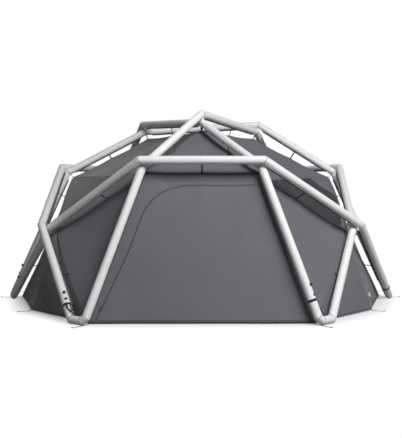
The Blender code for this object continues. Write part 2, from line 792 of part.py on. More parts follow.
def build():
    clear_scene()
    steep = [steep_arch(i) for i in range(3)]
    low = [low_arch(i) for i in range(3)]
    for index in range(3):
        add_sleeve(f"crown_arch_sleeve_{index + 1}", steep[index])
        add_sleeve(f"side_arch_sleeve_{index + 1}", low[index])
        add_bladder(f"air_loop_bladder_{index + 1}", low[index], steep[(index + 1) % 3])
    for number, arch in enumerate(steep + low, 1):
        add_valve(number, arch)
    for index in range(3):
        turn = THIRD_TURN * index
        bend = fly_knee(turn + 2 * TWELFTH)
        add_corner_strap(index + 1, steep[index], bend, fly_shoulder(turn + SHOULDER_SPREAD))
        bend = fly_knee(turn - 2 * TWELFTH)
        add_corner_strap(index + 4, low[index], bend, fly_shoulder(turn - SHOULDER_SPREAD))
    add_fly()
    front = FrontPanel()
    front.add_surround()
    front.add_door()
    front.add_slider()
    add_floor()
    for index in range(6):
        add_peg(f"corner_peg_{index + 1}", TWELFTH + 2 * TWELFTH * index, HEM_CORNER_RADIUS,
                CORNER_PEG_RADIUS)
    for index in range(3):
        add_peg(f"middle_peg_{index + 1}", 2 * TWELFTH + THIRD_TURN * index, HEM_MIDDLE_RADIUS,
                MIDDLE_PEG_RADIUS)
    hinge_foot, hinge_top = front.hinge()
    slide_start, slide_end = front.slider_line()
    print("door hinge", tuple(hinge_foot), tuple((hinge_top - hinge_foot).normalized()))
    print("slider", tuple((slide_end - slide_start).normalized()), (slide_end - slide_start).length)
    for number, arch in enumerate(steep + low, 1):
        print("valve", number, tuple(arch.valve), tuple(arch.facing))


build()
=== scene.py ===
"""Looks of the inflatable geodesic tent: air tubes, taut fly, ties, bands, valves, zip and pegs.

Azimuth is measured from the front (-Y) towards the right (+X). Lengths are in metres.
"""
from __future__ import annotations

import logging
import math
from contextlib import contextmanager
from dataclasses import dataclass, field
from enum import Enum
from typing import Callable, Iterable, Iterator, Sequence

import bmesh
import bpy
import numpy as np
from mathutils import Matrix, Vector
from mathutils.geometry import delaunay_2d_cdt


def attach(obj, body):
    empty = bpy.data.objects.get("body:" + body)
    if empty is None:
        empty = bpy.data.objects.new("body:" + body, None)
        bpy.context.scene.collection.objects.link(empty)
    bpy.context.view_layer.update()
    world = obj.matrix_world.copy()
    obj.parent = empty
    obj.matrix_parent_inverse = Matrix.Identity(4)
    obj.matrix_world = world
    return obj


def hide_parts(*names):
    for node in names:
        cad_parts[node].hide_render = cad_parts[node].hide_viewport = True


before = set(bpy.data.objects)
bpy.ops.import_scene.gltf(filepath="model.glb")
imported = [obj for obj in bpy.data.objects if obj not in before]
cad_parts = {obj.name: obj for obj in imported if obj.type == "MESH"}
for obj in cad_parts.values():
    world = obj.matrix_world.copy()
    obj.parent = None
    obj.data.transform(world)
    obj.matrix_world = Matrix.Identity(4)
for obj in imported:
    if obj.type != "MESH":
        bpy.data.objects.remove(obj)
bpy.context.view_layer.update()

LOG = logging.getLogger("tent")
UP = Vector((0, 0, 1))
THIRD = math.radians(120)
TWELFTH = math.radians(30)
SHELL = "shell"
DOOR = "door"
WHITE = (1, 1, 1, 1)
UNIT_SQUARE = ((0, 0), (1, 0), (1, 1), (0, 1))
# Further than any point of the tent is from an edge.
FAR = 9.0
# How wide a hexagon is across its flats, if it is one wide across its corners.
HEXAGON = 0.87
Piece = bpy.types.Object
Array = np.ndarray
Pair = tuple[float, float]
Triple = tuple[float, float, float]


class Held(Enum):
    """How a sheet of cloth is held."""

    STRETCHED = "stretched"
    LAID = "laid"


def operator(kind: str, swapped: bool = False) -> Callable[["Value", "Value | float"], "Value"]:
    """Makes an operator that adds a Math node.

    Args:
        kind: The node's operation.
        swapped: True where the value stands on the right.

    Returns:
        The operator.
    """

    def combine(self: "Value", other: "Value | float") -> "Value":
        """The combined value."""
        return self.graph.math(kind, other, self) if swapped else self.graph.math(kind, self, other)

    return combine


class Value:
    """A shader value that Python's operators work on, each adding its Math node."""

    def __init__(self, graph: "Graph", socket: bpy.types.NodeSocket) -> None:
        """Wraps an output socket of a graph."""
        self.graph = graph
        self.socket = socket

    __add__, __radd__ = operator("ADD"), operator("ADD", True)
    __sub__, __rsub__ = operator("SUBTRACT"), operator("SUBTRACT", True)
    __mul__, __rmul__ = operator("MULTIPLY"), operator("MULTIPLY", True)
    power = operator("POWER")

    def sine(self) -> "Value":
        """The sine of the value."""
        return self.graph.math("SINE", self, 0.0)

    def size(self) -> "Value":
        """The value without its sign."""
        return self.graph.math("ABSOLUTE", self, 0.0)

    def clamped(self) -> "Value":
        """The value held between 0 and 1."""
        return self.graph.math("ADD", self, 0.0, clamp=True)


class Graph:
    """The node graph of a material, with one Principled shader at its end, or of a world."""

    def __init__(self, owner: bpy.types.Material | bpy.types.World) -> None:
        """Takes over the graph.

        Args:
            owner: The new material or world.
        """
        owner.use_nodes = True
        self.owner = owner
        self.nodes = owner.node_tree.nodes
        self.links = owner.node_tree.links

    @classmethod
    def of_material(cls, name: str) -> "Graph":
        """The graph of a new material."""
        return cls(bpy.data.materials.new(name))

    @property
    def shader(self) -> bpy.types.Node:
        """The material's Principled shader."""
        return self.nodes["Principled BSDF"]

    def node(self, kind: str, settings: dict, inputs: dict) -> bpy.types.Node:
        """Adds a node.

        Args:
            kind: The node's type.
            settings: Its own settings, set first.
            inputs: Values or links of its sockets, by name or number.

        Returns:
            The node.
        """
        made = self.nodes.new(kind)
        for key, setting in settings.items():
            setattr(made, key, setting)
        for key, value in inputs.items():
            self.feed(made.inputs[key], value)
        return made

    def feed(self, socket: bpy.types.NodeSocket, value: "Value | float | Sequence[float]") -> None:
        """Links a value to a socket, or sets the socket to a number or colour."""
        if isinstance(value, Value):
            self.links.new(value.socket, socket)
        else:
            socket.default_value = value

    def math(self, operation: str, a: "Value | float", b: "Value | float", clamp: bool = False) -> Value:
        """Adds a Math node and returns its result."""
        settings = {"operation": operation, "use_clamp": clamp}
        return Value(self, self.node("ShaderNodeMath", settings, {0: a, 1: b}).outputs[0])

    def coordinates(self, kind: str) -> Value:
        """The Object or UV coordinates of the surface."""
        return Value(self, self.node("ShaderNodeTexCoord", {}, {}).outputs[kind])

    def axes(self, vector: Value) -> list[Value]:
        """The three parts of a vector."""
        parts = self.node("ShaderNodeSeparateXYZ", {}, {0: vector})
        return [Value(self, out) for out in parts.outputs]

    def stretched(self, vector: Value, scale: Sequence[float]) -> Value:
        """A vector with each part scaled by its own number."""
        made = self.node("ShaderNodeVectorMath", {"operation": "MULTIPLY"}, {0: vector, 1: scale})
        return Value(self, made.outputs["Vector"])

    def noise(self, vector: Value, scale: float, detail: float = 2.0, roughness: float = 0.5) -> Value:
        """Soft noise between 0 and 1."""
        inputs = {"Vector": vector, "Scale": scale, "Detail": detail, "Roughness": roughness}
        return Value(self, self.node("ShaderNodeTexNoise", {}, inputs).outputs[0])

    def attribute(self, name: str) -> Value:
        """The number that the mesh carries under a name."""
        return Value(self, self.node("ShaderNodeAttribute", {"attribute_name": name}, {}).outputs["Fac"])

    def mix(self, share: "Value | float", first: "Value | Sequence[float]",
            second: "Value | Sequence[float]") -> Value:
        """A colour between two colours."""
        ends = [end if isinstance(end, Value) else (*end, 1.0) for end in (first, second)]
        made = self.node("ShaderNodeMix", {"data_type": "RGBA"}, {0: share, 6: ends[0], 7: ends[1]})
        return Value(self, made.outputs[2])

    def weave(self, first: Value, second: Value, pitch: float) -> Value:
        """Two crossed rows of waves of one pitch."""
        return (first * (math.tau / pitch)).sine() * (second * (math.tau / pitch)).sine()

    def seen_by(self, first: str, second: str) -> Value:
        """1 for a ray of either of two kinds, else 0."""
        rays = self.node("ShaderNodeLightPath", {}, {}).outputs
        return self.math("MAXIMUM", *(Value(self, rays[f"Is {kind} Ray"]) for kind in (first, second)))

    def show(self, share: Value, first: bpy.types.Node, second: bpy.types.Node, output: str) -> None:
        """Sends a mix of two shaders to the output node of a name."""
        ends = [Value(self, shader.outputs[0]) for shader in (first, second)]
        mixed = self.node("ShaderNodeMixShader", {}, {0: share, 1: ends[0], 2: ends[1]})
        self.links.new(mixed.outputs[0], self.nodes[output].inputs["Surface"])

    def bump(self, height: Value, distance: float, strength: float = 1.0) -> None:
        """Feeds the shader's normal from a height."""
        bumps = {"Height": height, "Distance": distance, "Strength": strength}
        normal = Value(self, self.node("ShaderNodeBump", {}, bumps).outputs[0])
        self.feed(self.shader.inputs["Normal"], normal)

    def finish(self, **sockets: "Value | float | Sequence[float]") -> bpy.types.Material:
        """Feeds the shader's sockets, named with underscores for spaces.

        Returns:
            The material.
        """
        for name, value in sockets.items():
            self.feed(self.shader.inputs[name.replace("_", " ")], value)
        return self.owner


@dataclass(frozen=True)
class Recipe:
    """A procedural material: its name and the two colours that it varies between."""

    name: str
    colour: Triple
    worn: Triple

    def material(self) -> bpy.types.Material:
        """Builds the material.

        Returns:
            The material, named as the recipe.
        """
        raise NotImplementedError


@dataclass(frozen=True)
class CoatedCloth(Recipe):
    """The fly's and floor's coated ripstop cloth, woven along the piece's UV map."""

    yarn_pitch: float = 0.0011
    rip_pitch: float = 0.007
    rip_sharpness: float = 24.0
    wear_scale: float = 1.7
    fold_stretch: Triple = (5.0, 2.2, 1.0)
    fold_scale: float = 1.6
    fine_scale: float = 60.0
    crease_depth: float = 0.0035
    roughness: float = 0.62
    sheen: float = 0.25

    def material(self) -> bpy.types.Material:
        """Builds the cloth: broad wear, soft folds, a ripstop grid and fine grain."""
        graph = Graph.of_material(self.name)
        flat = graph.coordinates("UV")
        across, along, _ = graph.axes(flat)
        place = graph.coordinates("Object")
        rips = [(way * (math.pi / self.rip_pitch)).sine().size() for way in (across, along)]
        grid = rips[0].power(self.rip_sharpness) + rips[1].power(self.rip_sharpness)
        broad = graph.noise(place, self.wear_scale, 3.0)
        fold = graph.noise(graph.stretched(flat, self.fold_stretch), self.fold_scale, 4.0, 0.55)
        fine = graph.noise(place, self.fine_scale, 3.0)
        weave = graph.weave(across, along, self.yarn_pitch)
        graph.bump(fold * 1.0 + grid * 0.012 + weave * 0.01 + fine * 0.03, self.crease_depth)
        share = (broad * 0.9 + grid * 0.18 + fine * 0.25 - 0.3).clamped()
        return graph.finish(
            Base_Color=graph.mix(share, self.colour, self.worn),
            Roughness=broad * 0.12 + grid * 0.05 + (self.roughness - 0.06),
            Sheen_Weight=self.sheen,
            Sheen_Roughness=0.5,
            Specular_IOR_Level=0.35,
        )


@dataclass(frozen=True)
class SleeveCloth(Recipe):
    """The air tubes' tight pale sleeve: a fine weave, a slight pucker and grey stitched seams."""

    seam: Triple = (0.07, 0.072, 0.075)
    yarn_pitch: float = 0.0016
    pucker_scale: float = 45.0
    ripple_scale: float = 14.0
    mottle_scale: float = 90.0
    relief: float = 0.0016
    roughness: float = 0.55

    def material(self) -> bpy.types.Material:
        """Builds the sleeve's cloth, darker where the mesh carries a seam."""
        graph = Graph.of_material(self.name)
        flat = graph.coordinates("UV")
        around, along, _ = graph.axes(flat)
        weave = graph.weave(around + along, around - along, self.yarn_pitch)
        pucker = graph.noise(graph.stretched(flat, (1.0, 2.2, 1.0)), self.pucker_scale)
        ripple = graph.noise(graph.stretched(flat, (0.7, 3.0, 1.0)), self.ripple_scale)
        mottle = graph.noise(graph.coordinates("Object"), self.mottle_scale, 3.0, 0.6)
        stitched = graph.attribute("seam").clamped()
        graph.bump(pucker * 0.55 + ripple * 0.7 + weave * 0.04 + mottle * 0.12, self.relief)
        share = (pucker * 0.7 + mottle * 0.5 + ripple * 0.4 - 0.45).clamped()
        return graph.finish(
            Base_Color=graph.mix(stitched * 0.92, graph.mix(share, self.colour, self.worn), self.seam),
            Roughness=share * 0.15 + self.roughness,
            Sheen_Weight=0.15,
            Specular_IOR_Level=0.4,
        )


@dataclass(frozen=True)
class Webbing(Recipe):
    """Ribbed tape, woven by its place in the tent."""

    rib_pitch: float = 0.0016
    fuzz_scale: float = 400.0
    relief: float = 0.0004

    def material(self) -> bpy.types.Material:
        """Builds the tape: crossed ribs and a short fuzz."""
        graph = Graph.of_material(self.name)
        place = graph.coordinates("Object")
        x, y, z = graph.axes(place)
        ribs = graph.weave(x + y + z, x - y + z, self.rib_pitch)
        fuzz = graph.noise(place, self.fuzz_scale)
        graph.bump(ribs * 0.5 + fuzz * 0.5, self.relief)
        share = (fuzz * 0.8 + ribs * 0.2 - 0.15).clamped()
        colour = graph.mix(share, self.colour, self.worn)
        return graph.finish(Base_Color=colour, Roughness=fuzz * 0.2 + 0.62, Sheen_Weight=0.2)


@dataclass(frozen=True)
class StitchedFin(Recipe):
    """A dark fin with a row of stitches of the worn colour along the middle of each face."""

    half_girth: float = 0.0194
    first_row: float = 0.0104
    stitch_pitch: float = 0.011
    fuzz_scale: float = 300.0
    relief: float = 0.0004

    def material(self) -> bpy.types.Material:
        """Builds the fin: a row of dashes on fuzzy tape."""
        graph = Graph.of_material(self.name)
        around, along, _ = graph.axes(graph.coordinates("UV"))
        row = ((around - self.first_row) * (math.pi / self.half_girth) + math.pi / 2).sine().size().power(5.0)
        dash = ((along * (math.tau / self.stitch_pitch)).sine() * 2.5 - 0.6).clamped()
        fuzz = graph.noise(graph.coordinates("Object"), self.fuzz_scale)
        graph.bump(fuzz * 0.4 + row * dash, self.relief)
        colour = graph.mix((row * dash * 1.1 + fuzz * 0.12 - 0.06).clamped(), self.colour, self.worn)
        return graph.finish(Base_Color=colour, Roughness=fuzz * 0.2 + 0.6, Sheen_Weight=0.15)


@dataclass(frozen=True)
class Moulding(Recipe):
    """Moulded plastic or lacquered metal with a fine grain and rubbed patches."""

    roughness: float = 0.4
    metallic: float = 0.0
    grain_scale: float = 900.0
    rub_scale: float = 70.0
    relief: float = 0.00012

    def material(self) -> bpy.types.Material:
        """Builds the moulding: fine grain, and rubbed patches that are paler and rougher."""
        graph = Graph.of_material(self.name)
        place = graph.coordinates("Object")
        rub = graph.noise(place, self.rub_scale, 3.0)
        graph.bump(graph.noise(place, self.grain_scale), self.relief)
        colour = graph.mix((rub * 1.4 - 0.55).clamped(), self.colour, self.worn)
        roughness = rub * 0.2 + (self.roughness - 0.1)
        return graph.finish(Base_Color=colour, Roughness=roughness, Metallic=self.metallic)


def trim_cloth(name: str, colour: Triple, worn: Triple, crease_depth: float = 0.0008) -> tuple[str, Recipe]:
    """The slot and recipe of a small piece of cloth on the fly, with calm creases."""
    return "fly_fabric", CoatedCloth(name, colour, worn, crease_depth=crease_depth)


class Finish(Enum):
    """The tent's finishes, each with the record slot that it belongs to."""

    FLY = ("fly_fabric", CoatedCloth("fly_cloth", (0.119, 0.116, 0.134), (0.161, 0.156, 0.177)))
    BINDING = trim_cloth("binding_tape", (0.108, 0.107, 0.119), (0.146, 0.144, 0.157))
    HEM = trim_cloth("hem_cloth", (0.090, 0.090, 0.098), (0.125, 0.124, 0.134))
    # Near-black tape: on the front ridge it is painted shade in the groove there; it also dresses the front
    # hems and the hinge's seams.
    SEAM = trim_cloth("seam_tape", (0.060, 0.060, 0.066), (0.085, 0.084, 0.092))
    # Pale cloth for the flap beside the left leg: painted highlight, where the panel's edge catches the
    # light.
    FLAP = trim_cloth("flap_painted_highlight", (0.21, 0.205, 0.225), (0.26, 0.255, 0.275), 0.001)
    # Near-black cloth for the dark pointed patch on the right eave: painted shade, where the tube and a fold
    # of the fly shade the eave.
    VENT = trim_cloth("painted_shade_cloth", (0.020, 0.020, 0.022), (0.030, 0.030, 0.033), 0.001)
    TAG = trim_cloth("bare_tag", (0.84, 0.84, 0.85), (0.78, 0.78, 0.78), 0.0004)
    FLOOR = ("floor_fabric", CoatedCloth("floor_cloth", (0.035, 0.035, 0.038), (0.055, 0.055, 0.06)))
    SLEEVE = ("tube_fabric", SleeveCloth("sleeve_cloth", (0.90, 0.912, 0.904), (0.69, 0.705, 0.70)))
    FIN = ("tube_fabric", StitchedFin("stitched_fin", (0.010, 0.010, 0.011), (0.40, 0.40, 0.39)))
    FILM = ("bladder_film", Moulding("bladder_film", (0.55, 0.56, 0.54), (0.66, 0.67, 0.65), 0.35))
    TAPE = ("webbing", Webbing("black_tape", (0.008, 0.008, 0.009), (0.022, 0.022, 0.025)))
    LOOP = ("pegging_point", Webbing("peg_tape", (0.06, 0.06, 0.064), (0.11, 0.11, 0.115)))
    VALVE = ("valve_plastic", Moulding("valve_black", (0.010, 0.010, 0.011), (0.03, 0.03, 0.032)))
    COIL = ("zip_metal", Moulding("zip_coil", (0.028, 0.028, 0.032), (0.06, 0.06, 0.066), 0.45))
    PULL = ("zip_metal", Moulding("zip_pull", (0.07, 0.07, 0.076), (0.14, 0.14, 0.15), 0.42, 0.3))
    STEEL = ("pegging_point", Moulding("peg_steel", (0.20, 0.20, 0.21), (0.36, 0.36, 0.37), 0.38, 0.85))

    @property
    def slot(self) -> str:
        """The record's material slot."""
        return self.value[0]

    def material(self) -> bpy.types.Material:
        """The finish's material, made on first use."""
        return bpy.data.materials.get(self.value[1].name) or self.value[1].material()


def deselect() -> None:
    """Deselects everything."""
    bpy.ops.object.select_all(action="DESELECT")


def activate(piece: Piece) -> None:
    """Makes a piece the only selected and the active one."""
    deselect()
    piece.select_set(True)
    bpy.context.view_layer.objects.active = piece


@contextmanager
def editing(piece: Piece) -> Iterator[None]:
    """Holds a piece in edit mode."""
    activate(piece)
    bpy.ops.object.mode_set(mode="EDIT")
    yield
    bpy.ops.object.mode_set(mode="OBJECT")


def from_mesh(
    name: str, vertices: Iterable[Sequence[float]], faces: Iterable[Sequence[int]], edges: Iterable = ()
) -> Piece:
    """Adds an object with a mesh of given points and faces, or edges."""
    mesh = bpy.data.meshes.new(name)
    mesh.from_pydata([tuple(v) for v in vertices], list(edges), [tuple(f) for f in faces])
    mesh.update()
    piece = bpy.data.objects.new(name, mesh)
    bpy.context.scene.collection.objects.link(piece)
    return piece


def map_flat(piece: Piece, flat: Array) -> None:
    """Gives a piece a UV map from the flat place of each of its vertices."""
    layer = piece.data.uv_layers.new(name="UVMap")
    for loop in piece.data.loops:
        layer.data[loop.index].uv = flat[loop.vertex_index]


def thicken(piece: Piece, thickness: float) -> None:
    """Gives a sheet its thickness, on its inner side."""
    apply_modifier(piece, "SOLIDIFY", thickness=thickness, offset=-1.0, use_even_offset=False)


def apply_modifier(piece: Piece, kind: str, **settings: object) -> None:
    """Adds a modifier with its settings and applies it."""
    activate(piece)
    step = piece.modifiers.new(kind.lower(), kind)
    for key, setting in settings.items():
        setattr(step, key, setting)
    bpy.ops.object.modifier_apply(modifier=step.name)


def select_faces(piece: Piece, chosen: Callable[[bmesh.types.BMFace], bool]) -> None:
    """Selects the faces that a test chooses, of a piece in edit mode."""
    shape = bmesh.from_edit_mesh(piece.data)
    for face in shape.faces:
        face.select_set(chosen(face))
    bmesh.update_edit_mesh(piece.data)


def lathe(name: str, profile: Sequence[Pair], steps: int) -> Piece:
    """Turns a profile round the upright axis.

    Args:
        name: The piece's name.
        profile: Pairs of radius and height, both ends on the axis.
        steps: How many steps the full turn takes.

    Returns:
        The closed turned piece.
    """
    edges = [(i, i + 1) for i in range(len(profile) - 1)]
    piece = from_mesh(name, [(radius, 0.0, height) for radius, height in profile], [], edges)
    with editing(piece):
        bpy.ops.mesh.select_all(action="SELECT")
        bpy.ops.mesh.spin(steps=steps, angle=math.tau, center=(0, 0, 0), axis=(0, 0, 1))
        bpy.ops.mesh.select_all(action="SELECT")
        bpy.ops.mesh.remove_doubles(threshold=0.00002)
        bpy.ops.mesh.normals_make_consistent(inside=False)
    return piece


def bevelled_block(
    size: Sequence[float],
    place: Sequence[float] = (0, 0, 0),
    bevel: float = 0.0008,
    segments: int = 2,
    sunk: Pair | None = None,
) -> Piece:
    """A bevelled block.

    Args:
        size: Its width, length and height.
        place: Its middle.
        bevel: The bevel's width.
        segments: The bevel's steps.
        sunk: The border and the depth of a field sunk into its top.

    Returns:
        The block.
    """
    deselect()
    bpy.ops.mesh.primitive_cube_add(size=1, location=place)
    block = bpy.context.object
    block.scale = size
    bpy.ops.object.transform_apply()
    if sunk:
        with editing(block):
            select_faces(block, lambda face: face.normal.dot(UP) > 0.99)
            bpy.ops.mesh.inset(thickness=sunk[0], depth=-sunk[1])
    apply_modifier(block, "BEVEL", width=bevel, segments=segments, limit_method="ANGLE")
    return block


def standing(axis: Vector, base: Vector) -> Matrix:
    """The move that stands a piece along an axis at a base point."""
    return Matrix.Translation(base) @ axis.to_track_quat("Z", "Y").to_matrix().to_4x4()


def laid(base: Vector, across: Vector, along: Vector, up: Vector) -> Matrix:
    """The move that lays a piece along three axes at a base point."""
    return Matrix.Translation(base) @ Matrix((across, along, up)).transposed().to_4x4()


def freeze(piece: Piece, place: Matrix) -> None:
    """Moves a piece's mesh to its place and leaves its object at the origin."""
    piece.data.transform(place @ piece.matrix_world)
    piece.matrix_world = Matrix.Identity(4)


def join(name: str, parts: Sequence[Piece]) -> Piece:
    """Joins parts into one named piece."""
    deselect()
    for part in parts:
        part.select_set(True)
    bpy.context.view_layer.objects.active = parts[0]
    if len(parts) > 1:
        bpy.ops.object.join()
    piece = bpy.context.view_layer.objects.active
    piece.name = name
    piece.data.name = name
    return piece


def dress(
    piece: Piece,
    finish: Finish,
    body: str = SHELL,
    nodes: Sequence[str] = (),
    crease: float = 40.0,
) -> None:
    """Gives a piece its finish, its body and the CAD nodes that it stands for.

    Args:
        piece: The finished piece.
        finish: Its finish.
        body: The CAD body that it rides on.
        nodes: The CAD nodes that it replaces.
        crease: The angle in degrees past which an edge stays sharp.
    """
    piece.data.materials.clear()
    piece.data.materials.append(finish.material())
    piece.data.shade_smooth()
    piece.data.set_sharp_from_angle(angle=math.radians(crease))
    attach(piece, body)
    if nodes:
        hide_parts(*nodes)
    LOG.info("%s: %d faces", piece.name, len(piece.data.polygons))


def polar(radius: float, azimuth: float, height: float) -> Vector:
    """The point at a radius, azimuth and height."""
    return Vector((radius * math.sin(azimuth), -radius * math.cos(azimuth), height))


def skin(
    name: str, rings: Array, looped: bool = False, spread: tuple[Array, Array] | None = None
) -> Piece:
    """Joins rings of points into a closed skin that faces outwards.

    Args:
        name: The piece's name.
        rings: The rings, as an array of ring, corner and axis.
        looped: True where the last ring meets the first.
        spread: How far round each corner and how far along each ring lies, measured here if not given.

    Returns:
        The skin, with a UV map of metres across and along.
    """
    count, corners = rings.shape[:2]
    quads = []
    for r in range(count if looped else count - 1):
        t = (r + 1) % count
        for c in range(corners):
            d = (c + 1) % corners
            quads.append((r * corners + c, r * corners + d, t * corners + d, t * corners + c))
    caps = [range(corners)[::-1], range((count - 1) * corners, count * corners)][: 0 if looped else 2]
    flat = rings.reshape(-1, 3)
    middle = flat.mean(axis=0)
    a, b, c = (flat[[q[i] for q in quads]] - middle for i in (0, 1, 2))
    inside_out = float(np.einsum("ij,ij->i", a, np.cross(b, c)).sum()) < 0
    piece = from_mesh(name, flat, quads + caps)
    girth, travel = spread or measured(rings)
    layer = piece.data.uv_layers.new(name="UVMap")
    for number in range(len(quads)):
        r, c = divmod(number, corners)
        for corner, (dc, dr) in enumerate(UNIT_SQUARE):
            layer.data[number * 4 + corner].uv = (girth[c + dc], travel[r + dr])
    if inside_out:
        piece.data.flip_normals()
    return piece


def measured(rings: Array) -> tuple[Array, Array]:
    """How far round each corner of the first ring and how far along each ring lies."""
    middles = rings.mean(axis=1)
    travel = np.concatenate(([0.0], np.cumsum(np.linalg.norm(np.diff(middles, axis=0), axis=1))))
    sides = np.linalg.norm(rings[0] - np.roll(rings[0], -1, axis=0), axis=1)
    girth = np.concatenate(([0.0], np.cumsum(sides)))
    return girth, np.append(travel, travel[-1] + np.linalg.norm(middles[0] - middles[-1]))


def drawn(
    points: Sequence[Vector], sides: Sequence[Vector], section: Sequence[Pair], looped: bool = False
) -> Piece:
    """Draws a section along a line.

    Args:
        points: The line.
        sides: Roughly where the section's width points at each of them.
        section: Its outline as pairs of width and height.
        looped: True for a closed ring.

    Returns:
        The skin.
    """
    line = np.array([tuple(p) for p in points])
    if looped:
        ways = np.roll(line, -1, axis=0) - np.roll(line, 1, axis=0)
    else:
        ways = np.gradient(line, axis=0)
    ways /= np.linalg.norm(ways, axis=1)[:, None]
    across = np.array([tuple(v) for v in sides])
    across -= ways * np.einsum("ij,ij->i", across, ways)[:, None]
    across /= np.linalg.norm(across, axis=1)[:, None]
    ups = np.cross(ways, across)
    outline = np.array(section)
    rings = line[:, None] + across[:, None] * outline[None, :, :1] + ups[:, None] * outline[None, :, 1:]
    return skin("strip", rings, looped)


def webbing(
    line: Sequence[Vector], side: Vector, width: float, thickness: float, looped: bool = False
) -> Piece:
    """Webbing with slightly rounded edges along a line, its width to one side."""
    w, t = width / 2, thickness / 2
    c = t * 0.7
    section = [(-w, -t + c), (-w + c, -t), (w - c, -t), (w, -t + c),
               (w, t - c), (w - c, t), (-w + c, t), (-w, t - c)]
    return drawn(line, [side] * len(line), section, looped)


def hoop(middle: Vector, one: Vector, other: Vector, radius: float, steps: int) -> list[Vector]:
    """The points of a circle about a middle, in the plane of two crossed ways."""
    angles = [math.tau * step / steps for step in range(steps)]
    return [middle + (one * math.cos(a) + other * math.sin(a)) * radius for a in angles]


def curve(controls: Sequence[Vector], steps: int) -> list[Vector]:
    """A smooth line through control points.

    Args:
        controls: The points that it passes.
        steps: How many steps it takes between two of them.

    Returns:
        The line's points.
    """
    ends = [controls[0] * 2 - controls[1], *controls, controls[-1] * 2 - controls[-2]]
    line = []
    for a, b, c, d in zip(ends, ends[1:], ends[2:], ends[3:]):
        for i in range(steps):
            t = i / steps
            line.append((b * 2 + (c - a) * t + (a * 2 - b * 5 + c * 4 - d) * t**2
                         + (b * 3 - a - c * 3 + d) * t**3) / 2)
    return [*line, controls[-1].copy()]


@dataclass(frozen=True)
class LegFittings:
    """Where a leg's band and valves sit, from the point where the foot's two legs would meet."""

    band: float
    valve: float
    relief: float
    turn: float


@dataclass(frozen=True)
class Dome:
    """Sizes of the tube frame and of the fly that hangs inside it, as in the CAD model."""

    crown_radius: float = 0.584
    crown_height: float = 1.472
    shoulder_radius: float = 1.214
    shoulder_height: float = 1.099
    shoulder_spread: float = math.radians(20.6)
    knee_radius: float = 1.374
    knee_height: float = 0.637
    foot_radius: float = 1.658
    foot_depth: float = 0.084
    centre_height: float = 0.107
    tube_radius: float = 0.030
    slack_share: float = 1.006
    touch: float = 0.0003
    webbing_thickness: float = 0.0015
    webbing_width: float = 0.015
    foot_bend_cut: float = 0.028
    strap_pad_rise: float = 0.045
    crown_leg: LegFittings = LegFittings(0.272, 0.378, 0.307, math.radians(30))
    side_leg: LegFittings = LegFittings(0.294, 0.393, 0.337, math.radians(53))
    fly_drop: float = 0.100
    hem_corner_gap: float = 0.125
    skirt_tuck: float = 0.042
    hem_height: float = 0.010

    @property
    def centre(self) -> Vector:
        """The dome's centre."""
        return UP * self.centre_height

    @property
    def foot_axis_height(self) -> float:
        """How high the foot's tube lies."""
        return self.webbing_thickness + self.touch + self.tube_radius

    @property
    def hem_corner_radius(self) -> float:
        """How far out the hem's corners are."""
        return self.foot_radius - self.hem_corner_gap

    def outward(self, point: Vector) -> Vector:
        """The way out from the dome's centre."""
        return (point - self.centre).normalized()

    def crown(self, azimuth: float) -> Vector:
        """A crossing of the crown."""
        return polar(self.crown_radius, azimuth, self.crown_height)

    def shoulder(self, azimuth: float) -> Vector:
        """A crossing of the shoulder."""
        return polar(self.shoulder_radius, azimuth, self.shoulder_height)

    def knee(self, azimuth: float) -> Vector:
        """A crossing of the knee."""
        return polar(self.knee_radius, azimuth, self.knee_height)

    def foot(self, azimuth: float) -> Vector:
        """Where a foot's two legs would meet below the ground."""
        return polar(self.foot_radius, azimuth, -self.foot_depth)

    def drawn_in(self, point: Vector) -> Vector:
        """The fly's corner under a crossing."""
        return point - self.outward(point) * self.fly_drop

    def hem_corner(self, azimuth: float) -> Vector:
        """The fly's corner at a foot."""
        return polar(self.hem_corner_radius, azimuth, self.hem_height)

    def hem_middle(self, azimuth: float) -> Vector:
        """The middle of a skirt's hem."""
        return polar(self.hem_corner_radius - self.skirt_tuck, azimuth, self.hem_height)

    def hem_loop(self) -> list[Vector]:
        """The hem's corners and the middles of its skirts, all the way round."""
        loop = []
        for turn in (0.0, THIRD, THIRD * 2):
            loop += [self.hem_corner(turn - TWELFTH), self.hem_corner(turn + TWELFTH)]
            loop.append(self.hem_middle(turn + THIRD / 2))
        return loop

    def steep(self, turn: float, rise: float) -> list[Vector]:
        """The crossings of an arch over the crown, with its layers a rise apart from them."""
        spread = self.shoulder_spread
        points = [self.shoulder(turn + spread), self.crown(turn), self.crown(turn - THIRD)]
        points.append(self.shoulder(turn - THIRD - spread))
        return [p + self.outward(p) * rise * layer for p, layer in zip(points, (-1, -1, 1, -1))]

    def low(self, turn: float, rise: float) -> list[Vector]:
        """The crossings of an arch round the side, with its layers a rise apart from them."""
        spread = self.shoulder_spread
        points = [self.knee(turn - THIRD / 2), self.shoulder(turn - THIRD + spread)]
        points += [self.shoulder(turn - THIRD - spread), self.knee(turn + math.pi)]
        return [p + self.outward(p) * rise * layer for p, layer in zip(points, (1, 1, 1, -1))]

    def rise(self) -> float:
        """How far each tube of a crossing stands from its point, as the CAD model works it out."""
        found = self.tube_radius
        for _ in range(4):
            steep = bends([self.foot(TWELFTH), *self.steep(0, found), self.foot(-5 * TWELFTH)])
            low = bends([self.foot(-TWELFTH), *self.low(0, found), self.foot(5 * TWELFTH)])
            pairs = [(steep[0], low[1]), (steep[3], low[2]), (steep[1], steep[2]), (low[0], low[3])]
            share = min(math.cos(one / 2) * math.cos(other / 2) for one, other in pairs)
            found = self.tube_radius / share * self.slack_share + self.touch / 2
        return found


def bends(path: Sequence[Vector]) -> list[float]:
    """The angle of each bend along a path."""
    return [(b - a).angle(c - b) for a, b, c in zip(path, path[1:], path[2:])]


